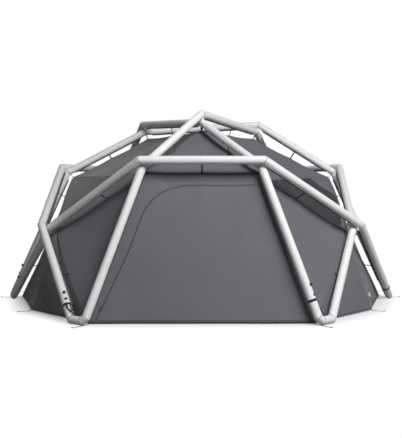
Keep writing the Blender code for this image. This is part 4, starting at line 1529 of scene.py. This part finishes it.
@dataclass
class FrontDoor:
    """The front panel's door with its zip, slider and hems."""

    fly: Fly
    side_margin: float = 0.080
    top_margin: float = 0.088
    foot_margin: float = 0.035
    waist_height: float = 0.500
    hinge_margin: float = 0.020
    corner_radius: float = 0.350
    corner_steps: int = 16
    clearance: float = 0.0005
    tape_width: float = 0.0095
    tape_thickness: float = 0.0009
    sewn_step: float = 0.012
    seam_size: Triple = (0.004, 0.0005, 0.003)
    tooth_lap: float = 0.0006
    tooth_pitch: float = 0.003
    tooth_size: Triple = (0.0030, 0.0011, 0.0018)
    hinge_clear: float = 0.02
    slider_place: float = 0.110
    slider_aside: float = 0.0085
    slider_rise: float = 0.0032
    hem_clear: float = 0.0075
    slider_size: Triple = (0.011, 0.020, 0.006)
    plate_thickness: float = 0.0014
    top_level: float = 0.72
    top_share: float = 0.86
    ring_radii: Pair = (0.0026, 0.0007)
    pull_field: Pair = (0.0012, 0.0004)
    pull_size: Triple = (0.007, 0.030, 0.0015)

    @property
    def facet(self) -> Facet:
        """The front wall's facet."""
        return self.fly.facets["wall_front"]

    def outline(self, gap: float) -> Array:
        """The door's outline from the foot of its zip round to the foot of its hinge.

        Args:
            gap: How far it is drawn in.

        Returns:
            Pairs on the facet's plane.
        """
        flat = self.facet.flat
        half_hem, height = flat[1][0] / 2, flat[2][1]
        lean = (half_hem - (flat[2][0] - flat[3][0]) / 2) / height
        slope = math.sqrt(1 + lean**2)

        def left_edge(up: float, margin: float) -> float:
            """How far left of the middle a point near the panel's edge is."""
            return -half_hem + lean * up + margin * slope

        top, side = height - self.top_margin - gap, self.side_margin + gap
        corner = Vector((left_edge(top, side), top))
        waist = Vector((left_edge(self.waist_height, side), self.waist_height))
        rise = (corner - waist).normalized()
        turn = rise.angle(Vector((1, 0)))
        radius = self.corner_radius - gap
        centre = corner - rise * radius * math.tan(turn / 2) + Vector((rise.y, -rise.x)) * radius
        points = [Vector((left_edge(0, self.foot_margin + gap), 0)), waist]
        for step in range(self.corner_steps + 1):
            angle = math.pi / 2 + turn * (1 - step / self.corner_steps)
            points.append(centre + Vector((math.cos(angle), math.sin(angle))) * radius)
        hinge = self.hinge_margin + gap
        points.append(Vector((-left_edge(top, hinge), top)))
        points.append(Vector((-left_edge(0, hinge), 0)))
        return np.array([(p.x + half_hem, p.y) for p in points])

    def hang(self, cutter: ClothCutter) -> None:
        """Cuts and hangs the surround and the door."""
        facet = self.facet
        frame_ends = facet.inset([0.0] + [self.fly.seam_inset] * 3)
        hole, leaf = self.outline(0.0), self.outline(self.clearance)
        surround = cutter.outline([frame_ends[0], *hole, *frame_ends[1:]])
        piece, area = cutter.sheet("door_surround", [(facet, surround)])
        dress(piece, Finish.FLY, SHELL, ["front_door_surround"])
        door = cutter.outline(list(leaf[::-1]))
        piece, area = cutter.sheet("door_leaf", [(facet, door)])
        dress(piece, Finish.FLY, DOOR, ["door_flap"])
        self.fly.declare(piece, [(facet, door)], area)
        low, high = float(hole[0][0]), float(hole[-1][0])
        ends = [0.0, low - self.clearance, low + self.hem_clear, high - self.hem_clear, high + self.clearance,
                float(facet.flat[1][0])]
        bands = []
        for a, b in zip(ends[::2], ends[1::2]):
            across = np.linspace(a, b, max(2, round((b - a) / self.fly.strip_step)))
            bands.append(self.fly.hem(facet, np.column_stack((across, np.zeros(len(across))))))
        dress(join("front_hem", [bands[0], bands[2]]), Finish.SEAM)
        dress(join("door_hem", [bands[1]]), Finish.SEAM, DOOR)

    def zip(self) -> None:
        """Sews the zip's tapes, sets its teeth and sews the hinge's seams, each in two halves."""
        way_round = self.outline(self.clearance / 2)
        run, hinge = (resampled(part, self.sewn_step) for part in (way_round[:-1], way_round[-2:]))
        rise, wide = self.fly.strip_rise, self.tape_width
        reach = wide / 2 + self.clearance
        halves = ((SHELL, "frame", 1), (DOOR, "door", -1))
        for body, side, hand in halves:
            tape = self.facet.strip(f"zip_tape_{side}", run, wide, rise, self.tape_thickness, reach * hand)
            dress(tape, Finish.BINDING, body)
        for body, side, hand in halves:
            dress(self.teeth(f"zip_teeth_{side}", hand), Finish.COIL, body)
        wide, thick, aside = self.seam_size
        for body, side, hand in halves:
            seam = self.facet.strip(f"hinge_seam_{side}", hinge, wide, rise, thick, aside * hand)
            dress(seam, Finish.SEAM, body)

    def teeth(self, name: str, hand: int) -> Piece:
        """One half of the zip's teeth, which reach between those of the other half."""
        wide, _, high = self.tooth_size
        line = resampled(self.outline(self.clearance / 2)[:-1], self.tooth_pitch / 2)
        line = line[(0 if hand > 0 else 1):-round(self.hinge_clear / self.tooth_pitch * 2):2]
        ways, left = headings(line)
        spots = line + left * hand * (wide / 2 - self.tooth_lap)
        seat = self.fly.strip_rise + self.tape_thickness
        low = self.facet.place(spots, seat)
        ahead = self.facet.place(spots + ways * 0.001, seat) - low
        tooth = bevelled_block(self.tooth_size, bevel=0.0003, segments=1)
        shape = np.array([tuple(v.co) for v in tooth.data.vertices])
        faces = [tuple(f.vertices) for f in tooth.data.polygons]
        bpy.data.objects.remove(tooth)
        normal = np.array(self.facet.normal)
        points = []
        for base, way in zip(low, ahead):
            along = way / np.linalg.norm(way)
            turned = np.stack((np.cross(along, normal), along, normal))
            points.append(base + normal * high / 2 + shape @ turned)
        every = [tuple(i + k * len(shape) for i in f) for k in range(len(points)) for f in faces]
        return from_mesh(name, np.concatenate(points), every)

    def slider(self) -> None:
        """Makes the slider: two plates, a post, a ring and a pull with a framed face."""
        foot, waist = self.outline(0.0)[:2]
        way = (waist - foot) / np.hypot(*(waist - foot))
        spot = foot + way * self.slider_place + np.array((-way[1], way[0])) * self.slider_aside
        facet = self.facet
        along = (facet.across * way[0] + facet.up * way[1]).normalized()
        base = Vector(facet.place(spot, self.slider_rise)[0])
        wide, long, high = self.slider_size
        parts = []
        for level, share in ((self.plate_thickness / 2, 1.0), (high * self.top_level, self.top_share)):
            deselect()
            bpy.ops.mesh.primitive_cylinder_add(vertices=6, radius=0.5, depth=1, rotation=(0, 0, TWELFTH))
            plate = bpy.context.object
            bpy.ops.object.transform_apply(rotation=True)
            plate.scale = (wide * share / HEXAGON, long * share, self.plate_thickness)
            plate.location = (0, 0, level)
            bpy.ops.object.transform_apply(location=True, scale=True)
            apply_modifier(plate, "BEVEL", width=0.0004, segments=2)
            parts.append(plate)
        parts.append(bevelled_block((wide * 0.3, long * 0.25, high * 0.7), (0, long * 0.28, high * 0.4)))
        deselect()
        major, minor = self.ring_radii
        bpy.ops.mesh.primitive_torus_add(
            major_radius=major, minor_radius=minor, major_segments=20, minor_segments=8,
            location=(0, -0.001, high * 0.85), rotation=(math.pi / 2, 0, math.pi / 2),
        )
        bpy.ops.object.transform_apply(location=True, rotation=True)
        parts.append(bpy.context.object)
        middle = (0, -self.pull_size[1] * 0.5, high * 0.9)
        parts.append(bevelled_block(self.pull_size, middle, 0.0005, sunk=self.pull_field))
        place = laid(base, along.cross(facet.normal), along, facet.normal)
        for part in parts:
            freeze(part, place)
        dress(join("zip_slider_and_pull", parts), Finish.PULL, "slider", ["zip_slider"])

    def build(self, cutter: ClothCutter) -> None:
        """Builds the front panel."""
        self.hang(cutter)
        self.zip()
        self.slider()


@dataclass
class Ties:
    """The black ties that hold the fly to the tubes, and the stitched fins inside the tubes."""

    dome: Dome
    arches: list[Arch]
    fly: Fly
    width: float = 0.011
    thickness: float = 0.0012
    pad_length: float = 0.014
    pad_width: float = 0.010
    node_width: float = 0.016
    fin_height: float = 0.018
    low_fin_height: float = 0.009
    fin_spans: int = 2
    fin_thickness: float = 0.0014
    fin_clear: float = 0.060
    foot_clear: float = 0.130
    fin_steps: int = 12
    fin_bite: float = 0.0012
    bite: float = 0.001
    slack: float = 0.004
    pad_rise: float = 0.0022
    node_rise: float = 0.0015

    def middle_tie(self, a: Vector, b: Vector, low_a: Vector, low_b: Vector) -> list[Piece]:
        """The tie between a tube's middle and the ridge under it, with its sewn pad."""
        ridge = self.fly.ridge(low_a, low_b, 0.0)
        spot = ridge.point(ridge.tie)
        axis = (b - a).normalized()
        near = a + axis * (spot - a).dot(axis)
        down = (spot - near).normalized()
        start = near + down * (self.dome.tube_radius - self.bite)
        out = self.dome.outward(spot)
        end = spot + out * self.thickness
        slack = axis.cross(down) * self.slack
        line = curve([start, start.lerp(end, 0.5) + slack, end], 5)
        run = (ridge.end - ridge.start).normalized()
        reach = self.pad_length / 2 / (ridge.end - ridge.start).length
        spots = [ridge.point(ridge.tie + reach * t) + out * self.pad_rise for t in (-1, -0.33, 0.33, 1)]
        return [webbing(line, axis, self.width, self.thickness),
                webbing(spots, run.cross(out), self.pad_width, self.thickness)]

    def node_tie(self, point: Vector) -> Piece:
        """The strap between a crossing's inner tube and the fly's corner under it."""
        dome = self.dome
        out = dome.outward(point)
        top = point - out * (dome.rise() + dome.tube_radius - self.bite)
        corner = dome.drawn_in(point) + out * self.node_rise
        side = UP.cross(out).normalized()
        line = curve([top, top.lerp(corner, 0.5) + side * self.slack / 2, corner], 4)
        return webbing(line, side, self.node_width, self.thickness)

    def fin(self, name: str, arch: Arch, tall: bool) -> Piece:
        """The fin along an arch's inner side: tall on a side arch's first tubes, low on all others."""
        parts = []
        spans = arch.spans()
        w, h = self.fin_thickness / 2, (self.fin_height if tall else self.low_fin_height) / 2
        section = [(-w, -h), (w, -h), (w, h), (-w, h)]
        for number, (a, b, low_a, low_b) in enumerate(spans):
            if tall != (not arch.steep and number < self.fin_spans):
                continue
            axis = (b - a).normalized()
            length = (b - a).length
            first = self.fin_clear if number else self.foot_clear
            last = self.fin_clear if number < len(spans) - 1 else self.foot_clear
            points, sides = [], []
            for share in np.linspace(first / length, 1 - last / length, self.fin_steps):
                under = low_a.lerp(low_b, share)
                near = a + axis * (length * share)
                down = under - near
                down = (down - axis * down.dot(axis)).normalized()
                points.append(near + down * (self.dome.tube_radius + h - self.fin_bite))
                sides.append(axis.cross(down))
            parts.append(drawn(points, sides, section))
        return join(name, parts)

    def build(self) -> None:
        """Builds and dresses the ties and fins."""
        dome, spread = self.dome, self.dome.shoulder_spread
        ties = []
        for number, arch in enumerate(self.arches, 1):
            for span in arch.spans():
                ties += self.middle_tie(*span)
            dress(self.fin(f"tube_fin_{number}", arch, False), Finish.TAPE)
            if not arch.steep:
                dress(self.fin(f"leg_fin_{number}", arch, True), Finish.FIN)
        for turn in (0.0, THIRD, THIRD * 2):
            points = [dome.crown(turn), dome.shoulder(turn - spread), dome.shoulder(turn + spread)]
            ties += [self.node_tie(point) for point in (*points, dome.knee(turn + THIRD / 2))]
        dress(join("fly_ties", ties), Finish.TAPE)


@dataclass
class LegBands:
    """The webbing bands round the legs, with their strands down to the fly's corners."""

    dome: Dome
    arches: list[Arch]
    band_steps: int = 48
    band_width: float = 0.018
    strand_width: float = 0.009
    thickness: float = 0.0015
    pad_length: float = 0.030
    tab_length: float = 0.022
    tab_section: Pair = (0.012, 0.003)
    crook_share: float = 0.42
    crook_reach: float = 0.004
    strand_hang: tuple[Pair, ...] = ((0, 0), (0.020, 0.002), (0.050, 0.003))
    buckle_hang: Pair = (0.024, 0.003)
    swings: tuple[Pair, ...] = ((0.97, 0.25), (0.62, 0.78))
    buckle_size: Triple = (0.016, 0.012, 0.004)

    def ring(self, arch: Arch) -> Piece:
        """The band itself, a closed ring of webbing."""
        middle = self.dome.tube_radius + self.dome.touch + self.thickness / 2
        line = hoop(arch.band, arch.facing, arch.leg.cross(arch.facing), middle, self.band_steps)
        return webbing(line, arch.leg, self.band_width, self.thickness, True)

    def partner(self, arch: Arch) -> Arch:
        """The arch whose far foot this arch's own leg stands on."""
        others = [other for other in self.arches if other.steep != arch.steep]
        return min(others, key=lambda other: (other.leg_end - arch.leg_start).length)

    def strap(self, name: str, arch: Arch) -> Piece:
        """The band with its strands, its tab in the foot's crook and its pad on the fly's corner."""
        dome, partner = self.dome, self.partner(arch)
        base, over = arch.leg_start, partner.leg_end
        inner = over - base
        inner = (inner - arch.leg * inner.dot(arch.leg)).normalized()
        out = inner.cross(arch.leg)
        out = out if out.dot(dome.outward(arch.band)) > 0 else -out
        rim = dome.tube_radius + dome.touch + self.thickness * 1.5
        corner = dome.hem_corner(arch.start_azimuth)
        crook = base.lerp(over, self.crook_share) + UP * (dome.tube_radius + self.thickness)
        crook += (corner - crook).normalized() * self.crook_reach
        parts = [self.ring(arch)]
        for swing in self.swings[: 1 if arch.steep else 2]:
            side = (inner * swing[0] + out * swing[1]).normalized()
            start = arch.band + side * rim
            hung = [start - arch.leg * drop + side * rise for drop, rise in self.strand_hang]
            line = curve([*hung, crook], 6)
            parts.append(webbing(line, arch.leg.cross(side), self.strand_width, self.thickness))
        fly_out = dome.outward(corner)
        nearest_knee = arch.start_azimuth + (TWELFTH if arch.steep else -TWELFTH)
        up_knee = dome.drawn_in(dome.knee(nearest_knee)) - corner
        up_shoulder = dome.drawn_in(arch.crossings[0] if arch.steep else partner.crossings[-1]) - corner
        rise = (up_knee.normalized() + up_shoulder.normalized()).normalized()
        pad = corner + rise * dome.strap_pad_rise + fly_out * (self.thickness + 0.001)
        line = curve([crook, crook.lerp(pad, 0.5) + UP * 0.002, pad], 4)
        across = UP.cross(pad - crook).normalized()
        reach = rise * self.pad_length / 2
        tab = (over - base).normalized() * self.tab_length / 2
        parts.append(webbing(line, across, dome.webbing_width, self.thickness))
        spots = [pad - reach, pad, pad + reach]
        parts.append(webbing(spots, rise.cross(fly_out), dome.webbing_width, self.thickness))
        parts.append(webbing([crook - tab, crook, crook + tab], across.cross(tab), *self.tab_section))
        if not arch.steep:
            parts.append(self.buckle(arch, (inner * 0.5 + out * 0.8).normalized(), rim))
        return join(name, parts)

    def buckle(self, arch: Arch, side: Vector, rim: float) -> Piece:
        """A small ladder buckle on the strands."""
        buckle = bevelled_block(self.buckle_size, sunk=(0.003, 0.0015))
        drop, rise = self.buckle_hang
        spot = arch.band + side * (rim + rise) - arch.leg * drop
        freeze(buckle, laid(spot, arch.leg.cross(side), arch.leg, side))
        return buckle

    def build(self) -> None:
        """Builds and dresses the six straps."""
        for number, arch in enumerate(self.arches, 1):
            strap = self.strap(f"leg_band_{number}", arch)
            dress(strap, Finish.TAPE, SHELL, [f"corner_strap_{number}"])


@dataclass
class AirValves:
    """The screw-capped valves and the small relief valves."""

    arches: list[Arch]
    relief_radius: float = 0.0105
    turns: int = 40

    def valve(self) -> Piece:
        """A flanged valve with a beaded neck, standing on the tube's surface at height 0."""
        profile = [(0, -0.0075), (0.0045, -0.0075), (0.0045, -0.003), (0.0106, -0.003), (0.0110, -0.0024),
                   (0.0110, 0.0013), (0.0104, 0.0019), (0.0088, 0.0020), (0.0072, 0.0022), (0.0069, 0.0032),
                   (0.0071, 0.0040), (0.0069, 0.0048), (0.0071, 0.0056), (0.0068, 0.0066), (0.0070, 0.0072),
                   (0.0064, 0.0079), (0.0026, 0.0080), (0.0024, 0.0060), (0, 0.0058)]
        return lathe("valve", profile, self.turns)

    def cap(self) -> Piece:
        """A screw cap with a gripped rim and a raised bar."""
        profile = [(0, 0.0083), (0.0074, 0.0083), (0.0076, 0.0026), (0.0080, 0.0023), (0.0094, 0.0023),
                   (0.0100, 0.0028), (0.0100, 0.0094), (0.0094, 0.0103), (0.0082, 0.0107), (0.0070, 0.0104),
                   (0, 0.0103)]
        cap = lathe("cap", profile, self.turns)
        with editing(cap):
            select_faces(cap, self.is_groove)
            bpy.ops.mesh.inset(thickness=0.00018, depth=-0.0006, use_individual=True)
        bar = bevelled_block((0.0125, 0.0028, 0.0014), (0, 0, 0.0108), 0.0006)
        return join("cap", [cap, bar])

    def is_groove(self, face: bmesh.types.BMFace) -> bool:
        """True for every second face round the cap's rim."""
        middle = face.calc_center_median()
        step = math.floor(math.atan2(middle.y, middle.x) / math.tau * self.turns)
        return math.hypot(middle.x, middle.y) > 0.0097 and 0.003 < middle.z < 0.009 and step % 2 == 0

    def relief(self) -> Piece:
        """A low round relief valve with a ring groove and a domed middle."""
        r = self.relief_radius
        profile = [(0, -0.002), (r - 0.0004, -0.002), (r, -0.0016), (r, 0.0014), (r - 0.0006, 0.0020),
                   (r - 0.0020, 0.0021), (r - 0.0024, 0.0012), (r - 0.0034, 0.0012), (r - 0.0038, 0.0026),
                   (r - 0.0056, 0.0034), (0, 0.0037)]
        return lathe("relief", profile, 32)

    @staticmethod
    def copy(piece: Piece, name: str, place: Matrix) -> Piece:
        """A copy of a piece with its own mesh, at its place."""
        made = piece.copy()
        made.data = piece.data.copy()
        made.name = name
        bpy.context.scene.collection.objects.link(made)
        freeze(made, place)
        return made

    def build(self) -> None:
        """Builds and dresses every valve, cap and relief valve."""
        shapes = [self.valve(), self.cap(), self.relief()]
        for number, arch in enumerate(self.arches, 1):
            own, out, surface = arch.fittings, arch.facing, arch.dome.tube_radius
            seat, low = (standing(out, arch.vee + arch.leg * along + out * (surface - sunk))
                         for along, sunk in ((own.valve, 0.0002), (own.relief, 0.0004)))
            valve = self.copy(shapes[0], f"air_valve_{number}", seat)
            dress(valve, Finish.VALVE, SHELL, [f"valve_{number}"])
            cap = self.copy(shapes[1], f"air_valve_cap_{number}", seat)
            dress(cap, Finish.VALVE, f"cap_{number}", [f"valve_cap_{number}"], 30.0)
            dress(self.copy(shapes[2], f"relief_valve_{number}", low), Finish.VALVE)
        for shape in shapes:
            bpy.data.objects.remove(shape)


@dataclass
class Ground:
    """The groundsheet, the pegging tapes and the pegs."""

    dome: Dome
    sheet_reach: float = 0.0063
    thickness: float = 0.0010
    corner_peg: float = 1.704
    middle_peg: float = 1.583
    tape_width: float = 0.012
    peg_radius: float = 0.0025
    lip_height: float = 0.0086
    tape_thickness: float = 0.001
    strip_start: tuple[Pair, ...] = ((0, 0.0088), (0.010, 0.0050), (0.024, 0.0012))
    hook_bend: tuple[Pair, ...] = (
        (0, 0.0012), (0, 0.0040), (0.002, 0.0062), (0.007, 0.0070), (0.0125, 0.0050),
    )
    rest_height: float = 0.0032
    ripples: Pair = (0.0007, 0.0006)
    net_step: float = 0.06
    hook_swing: float = 25
    on_edge: float = 0.001

    def sheet(self) -> None:
        """Lays the groundsheet with its faint ripples, its edge lifted under every hem but the front one."""
        corners = []
        for corner in self.dome.hem_loop():
            level = Vector((corner.x, corner.y))
            corners.append(np.array(level - level.normalized() * self.sheet_reach))
        cutter = ClothCutter(self.net_step, self.thickness)
        edge = cutter.outline(corners)
        spots, faces, area = cutter.fill(edge)
        x, y = spots.T
        one, other = self.ripples
        z = self.rest_height + one * np.sin(x * 11 + np.sin(y * 7)) + other * np.sin(y * 13 + x * 5 + 1.3)
        gaps = np.linalg.norm(spots[:, None] - edge[None], axis=2).min(axis=1)
        front = min(corner[1] for corner in corners)
        z[(gaps < self.on_edge) & (y > front + self.on_edge)] = self.lip_height
        piece = from_mesh("ground_sheet", np.column_stack((x, y, z)), faces)
        map_flat(piece, spots)
        thicken(piece, self.thickness)
        dress(piece, Finish.FLOOR, SHELL, ["groundsheet"])

    def peg(self, azimuth: float, hem: float, reach: float, turn: float) -> tuple[list, Piece]:
        """A pegging tape from the hem's corner and the hooked head of its peg.

        Args:
            azimuth: Where it is.
            hem: The hem's radius there.
            reach: The peg's radius.
            turn: How far the hook is turned out of line.

        Returns:
            The tapes and the peg's head.
        """
        way = polar(1, azimuth, 0)
        side = UP.cross(way)
        inner, head = way * (hem - 0.004), way * (reach + 0.002)
        drop = [inner + way * ahead + UP * up for ahead, up in self.strip_start]
        drop += [spot + UP * self.tape_thickness for spot in (inner.lerp(way * reach, 0.6), head)]
        strip = webbing(curve(drop, 4), side, self.tape_width, self.tape_thickness)
        eye = hoop(head + UP * 0.0022, way * 0.008, side * 0.0055, 1, 20)
        loop = drawn(eye, [UP] * 20, self.round(0.0009, 6), True)
        hook_way = Matrix.Rotation(turn, 3, "Z") @ way
        rod = curve([head + UP * up + hook_way * ahead for ahead, up in self.hook_bend], 4)
        hook = drawn(rod, [side] * len(rod), self.round(self.peg_radius * 0.8, 10))
        return [strip, loop], hook

    @staticmethod
    def round(radius: float, sides: int) -> list[Pair]:
        """A round section."""
        angles = [math.tau * i / sides for i in range(sides)]
        return [(radius * math.cos(a), radius * math.sin(a)) for a in angles]

    def build(self) -> None:
        """Builds and dresses the sheet, the tapes and the pegs."""
        self.sheet()
        corner, middle = self.dome.hem_corner_radius, self.dome.hem_corner_radius - self.dome.skirt_tuck
        places = [(f"corner_peg_{i + 1}", 1 + 2 * i, corner, self.corner_peg) for i in range(6)]
        places += [(f"middle_peg_{i + 1}", 2 + 4 * i, middle, self.middle_peg) for i in range(3)]
        for number, (node, twelfths, hem, reach) in enumerate(places):
            turn = math.radians(self.hook_swing * math.sin(number * 2.1))
            tapes, hook = self.peg(TWELFTH * twelfths, hem, reach, turn)
            dress(join(f"{node}_tape", tapes), Finish.LOOP, SHELL, [node])
            dress(join(f"{node}_hook", [hook]), Finish.STEEL, SHELL, [node])


@dataclass
class Trims:
    """The small things sewn on the fly: the dark pointed patch of painted shade on the right eave, the bare
    tag, and the pale flap beside a leg, whose paleness is a painted highlight, with its tab.
    """

    fly: Fly
    tag_size: Pair = (0.021, 0.032)
    tag_spot: Pair = (0.268, 0.447)
    tag_run: Pair = (0.0325, 0.0115)
    tag_rises: tuple[float, ...] = (0.0008, 0.0014, 0.0024, 0.0012)
    # Outline of the patch of painted shade on the right eave.
    shade_patch_outline: tuple[Pair, ...] = (
        (0.14, 0.035), (0.905, 0.035), (1.012, 0.510), (0.967, 0.540), (0.901, 0.565), (0.844, 0.600),
        (0.785, 0.625),
    )
    shade_patch_rise: float = 0.0014
    shade_patch_hem: float = 0.012
    shade_patch_hem_rise: Pair = (0.0016, 0.0012)
    flap_edges: tuple[Pair, ...] = (
        (0.563, 0.842), (0.468, 0.752), (0.354, 0.627),
        (0.574, 0.760), (0.473, 0.646), (0.366, 0.546),
    )

    def shade_patch(self, cutter: ClothCutter) -> None:
        """Sews the dark pointed patch of painted shade on the right eave, where the tube and a fold shade the
        fly, with a hem along its upper edge.
        """
        facet = self.fly.facets["eave_right"]
        outline = cutter.outline([np.array(spot) for spot in self.shade_patch_outline])
        flat, triangles, _ = cutter.fill(outline)
        panel = from_mesh("eave_painted_shade", facet.place(flat, self.shade_patch_rise), triangles)
        thicken(panel, cutter.thickness)
        # The near-black finish paints the shade that falls on the eave.
        dress(panel, Finish.VENT)
        edge = np.array(self.shade_patch_outline[2:])
        hem = facet.strip("eave_vent_hem", resampled(edge, 0.02), self.shade_patch_hem, *self.shade_patch_hem_rise)
        dress(hem, Finish.BINDING, crease=20.0)

    def tag(self) -> None:
        """Sews the bare tag on the near right skirt, standing a little proud in its middle."""
        width, length = self.tag_size
        run = np.array(self.tag_run) / math.hypot(*self.tag_run)
        aside = np.array((-run[1], run[0])) * width / 2
        spots = np.array([np.array(self.tag_spot) + run * length * t for t in (-0.5, -0.2, 0.2, 0.5)])
        facet = self.fly.facets["skirt_right_near"]
        tag = facet.band("bare_tag", (spots + aside, spots - aside), np.array(self.tag_rises), 0.0008)
        dress(tag, Finish.TAG)

    def flap(self) -> None:
        """Sews the flap beside the left leg, arched off the cloth, with a tab at its foot; the flap's pale
        colour is a painted highlight where the panel's edge catches the light.
        """
        facet = self.fly.facets["flank_left_far"]
        shares = np.linspace(0, 1, 9)
        lines = []
        for edge in np.array(self.flap_edges).reshape(2, -1, 2):
            at = np.linspace(0, 1, len(edge))
            lines.append(np.column_stack([np.interp(shares, at, edge[:, k]) for k in (0, 1)]))
        rises = 0.002 + 0.006 * np.sin(math.pi * shares) ** 2
        # The flap's pale finish paints a highlight on the panel's edge.
        dress(facet.band("leg_flap", lines, rises, 0.0009), Finish.FLAP)
        drop = (lines[0][-1] - lines[0][-2]) / np.hypot(*(lines[0][-1] - lines[0][-2]))
        ends = [np.array([line[-1] - drop * 0.004, line[-1] + drop * 0.014]) for line in lines]
        dress(facet.band("leg_flap_tab", ends, np.array((0.0045, 0.003)), 0.0014), Finish.TAPE)

    def build(self, cutter: ClothCutter) -> None:
        """Builds and dresses the trims."""
        self.shade_patch(cutter)
        self.tag()
        self.flap()


@dataclass
class Stage:
    """The floor, the lamps and the camera."""

    camera_place: Triple = (-0.0412, -6.2990, 0.8731)
    camera_yaw: float = math.radians(0.374)
    camera_tilt: float = math.radians(1.826)
    lens: float = 65.86
    sensor: float = 36.0
    floor_reach: float = 40.0
    bounce: float = 0.22
    seen_grey: float = 0.82
    sky_strength: float = 0.02
    glow: float = 1.0
    shadow_fade: float = 4.5
    shadow_start: float = 0.30

    def camera(self) -> None:
        """Places the camera at the photograph's view."""
        data = bpy.data.cameras.new("camera")
        data.sensor_fit = "HORIZONTAL"
        data.sensor_width = self.sensor
        data.lens = self.lens
        view = bpy.data.objects.new("camera", data)
        view.location = self.camera_place
        view.rotation_euler = (math.pi / 2 - self.camera_tilt, 0, -self.camera_yaw)
        bpy.context.scene.collection.objects.link(view)
        bpy.context.scene.camera = view

    def lamp(self, name: str, toward: Vector, distance: float, size: float, watts: float) -> None:
        """Adds a round soft lamp that looks at the tent's middle.

        Args:
            name: The lamp's name.
            toward: The way from the tent to the lamp.
            distance: How far away it stands.
            size: Its diameter.
            watts: Its power.
        """
        data = bpy.data.lights.new(name, "AREA")
        data.shape = "DISK"
        data.size = size
        data.energy = watts
        lamp = bpy.data.objects.new(name, data)
        lamp.location = toward.normalized() * distance + UP * 0.5
        lamp.rotation_euler = toward.to_track_quat("Z", "Y").to_euler()
        bpy.context.scene.collection.objects.link(lamp)

    def hem_edges(self) -> list[Pair]:
        """The azimuth that each side of the hem faces and its distance from the middle."""
        corners = Dome().hem_loop()
        edges = []
        for a, b in zip(corners, corners[1:] + corners[:1]):
            out = (b - a).cross(UP).normalized()
            out = out if out.dot(a) > 0 else -out
            edges.append((math.atan2(out.x, -out.y), out.dot(a)))
        return edges

    def floor(self) -> None:
        """Adds the pale floor, which shows white far out; towards the hem its white glow fades into grey lit
        floor, a painted shadow along the hem over the lamps' real shadow.
        """
        deselect()
        bpy.ops.mesh.primitive_plane_add(size=self.floor_reach)
        floor = bpy.context.object
        floor.name = "floor"
        graph = Graph.of_material("floor_white")
        seen = graph.seen_by("Camera", "Glossy")
        colour = graph.mix(seen, (self.bounce,) * 3, (self.seen_grey,) * 3)
        graph.finish(Base_Color=colour, Roughness=0.9, Specular_IOR_Level=0.0)
        glow = graph.node("ShaderNodeEmission", {}, {"Color": WHITE, "Strength": self.glow})
        x, y, _ = graph.axes(graph.coordinates("Object"))
        reach = None
        for azimuth, distance in self.hem_edges():
            way = polar(1, azimuth, 0)
            gap = x * way.x + y * way.y - distance
            reach = gap if reach is None else graph.math("MAXIMUM", reach, gap)
        # The glow fades in from the hem outwards, so the floor near the hem is painted darker as a soft
        # shadow, even where the lamps light it.
        white = (reach * self.shadow_fade + self.shadow_start).clamped()
        graph.show(seen * white, graph.shader, glow, "Material Output")
        floor.data.materials.append(graph.owner)

    def world(self) -> None:
        """Lights the tent with a soft sky that shows white."""
        world = bpy.data.worlds.new("studio")
        bpy.context.scene.world = world
        graph = Graph(world)
        soft = graph.nodes["Background"]
        soft.inputs["Color"].default_value = WHITE
        soft.inputs["Strength"].default_value = self.sky_strength
        white = graph.node("ShaderNodeBackground", {}, {"Color": WHITE, "Strength": 1.0})
        graph.show(graph.seen_by("Camera", "Transmission"), soft, white, "World Output")

    def build(self) -> None:
        """Sets the whole stage."""
        bpy.context.scene.view_settings.view_transform = "Standard"
        self.camera()
        self.lamp("key_lamp", Vector((0.29, -0.73, 0.62)), 7.0, 2.6, 300.0)
        self.lamp("side_lamp", Vector((0.60, -0.65, 0.47)), 7.0, 2.6, 116.0)
        self.lamp("fill_lamp", Vector((-0.50, -0.70, 0.50)), 7.0, 2.6, 24.0)
        self.lamp("back_lamp", Vector((-0.30, 0.95, 0.12)), 7.0, 3.2, 150.0)
        self.floor()
        self.world()


def main() -> None:
    """Builds and dresses the tent, class by class."""
    logging.basicConfig(level=logging.INFO, format="%(message)s")
    deselect()
    dome = Dome()
    arches = [Arch(dome, True, i) for i in range(3)] + [Arch(dome, False, i) for i in range(3)]
    AirTubes(dome, arches).build()
    fly = Fly(dome)
    cutter = ClothCutter(fly.spacing, fly.thickness)
    fly.build(cutter)
    fly.bind()
    FrontDoor(fly).build(cutter)
    Ties(dome, arches, fly).build()
    LegBands(dome, arches).build()
    AirValves(arches).build()
    Ground(dome).build()
    Trims(fly).build(cutter)
    Stage().build()


if __name__ == "__main__":
    main()
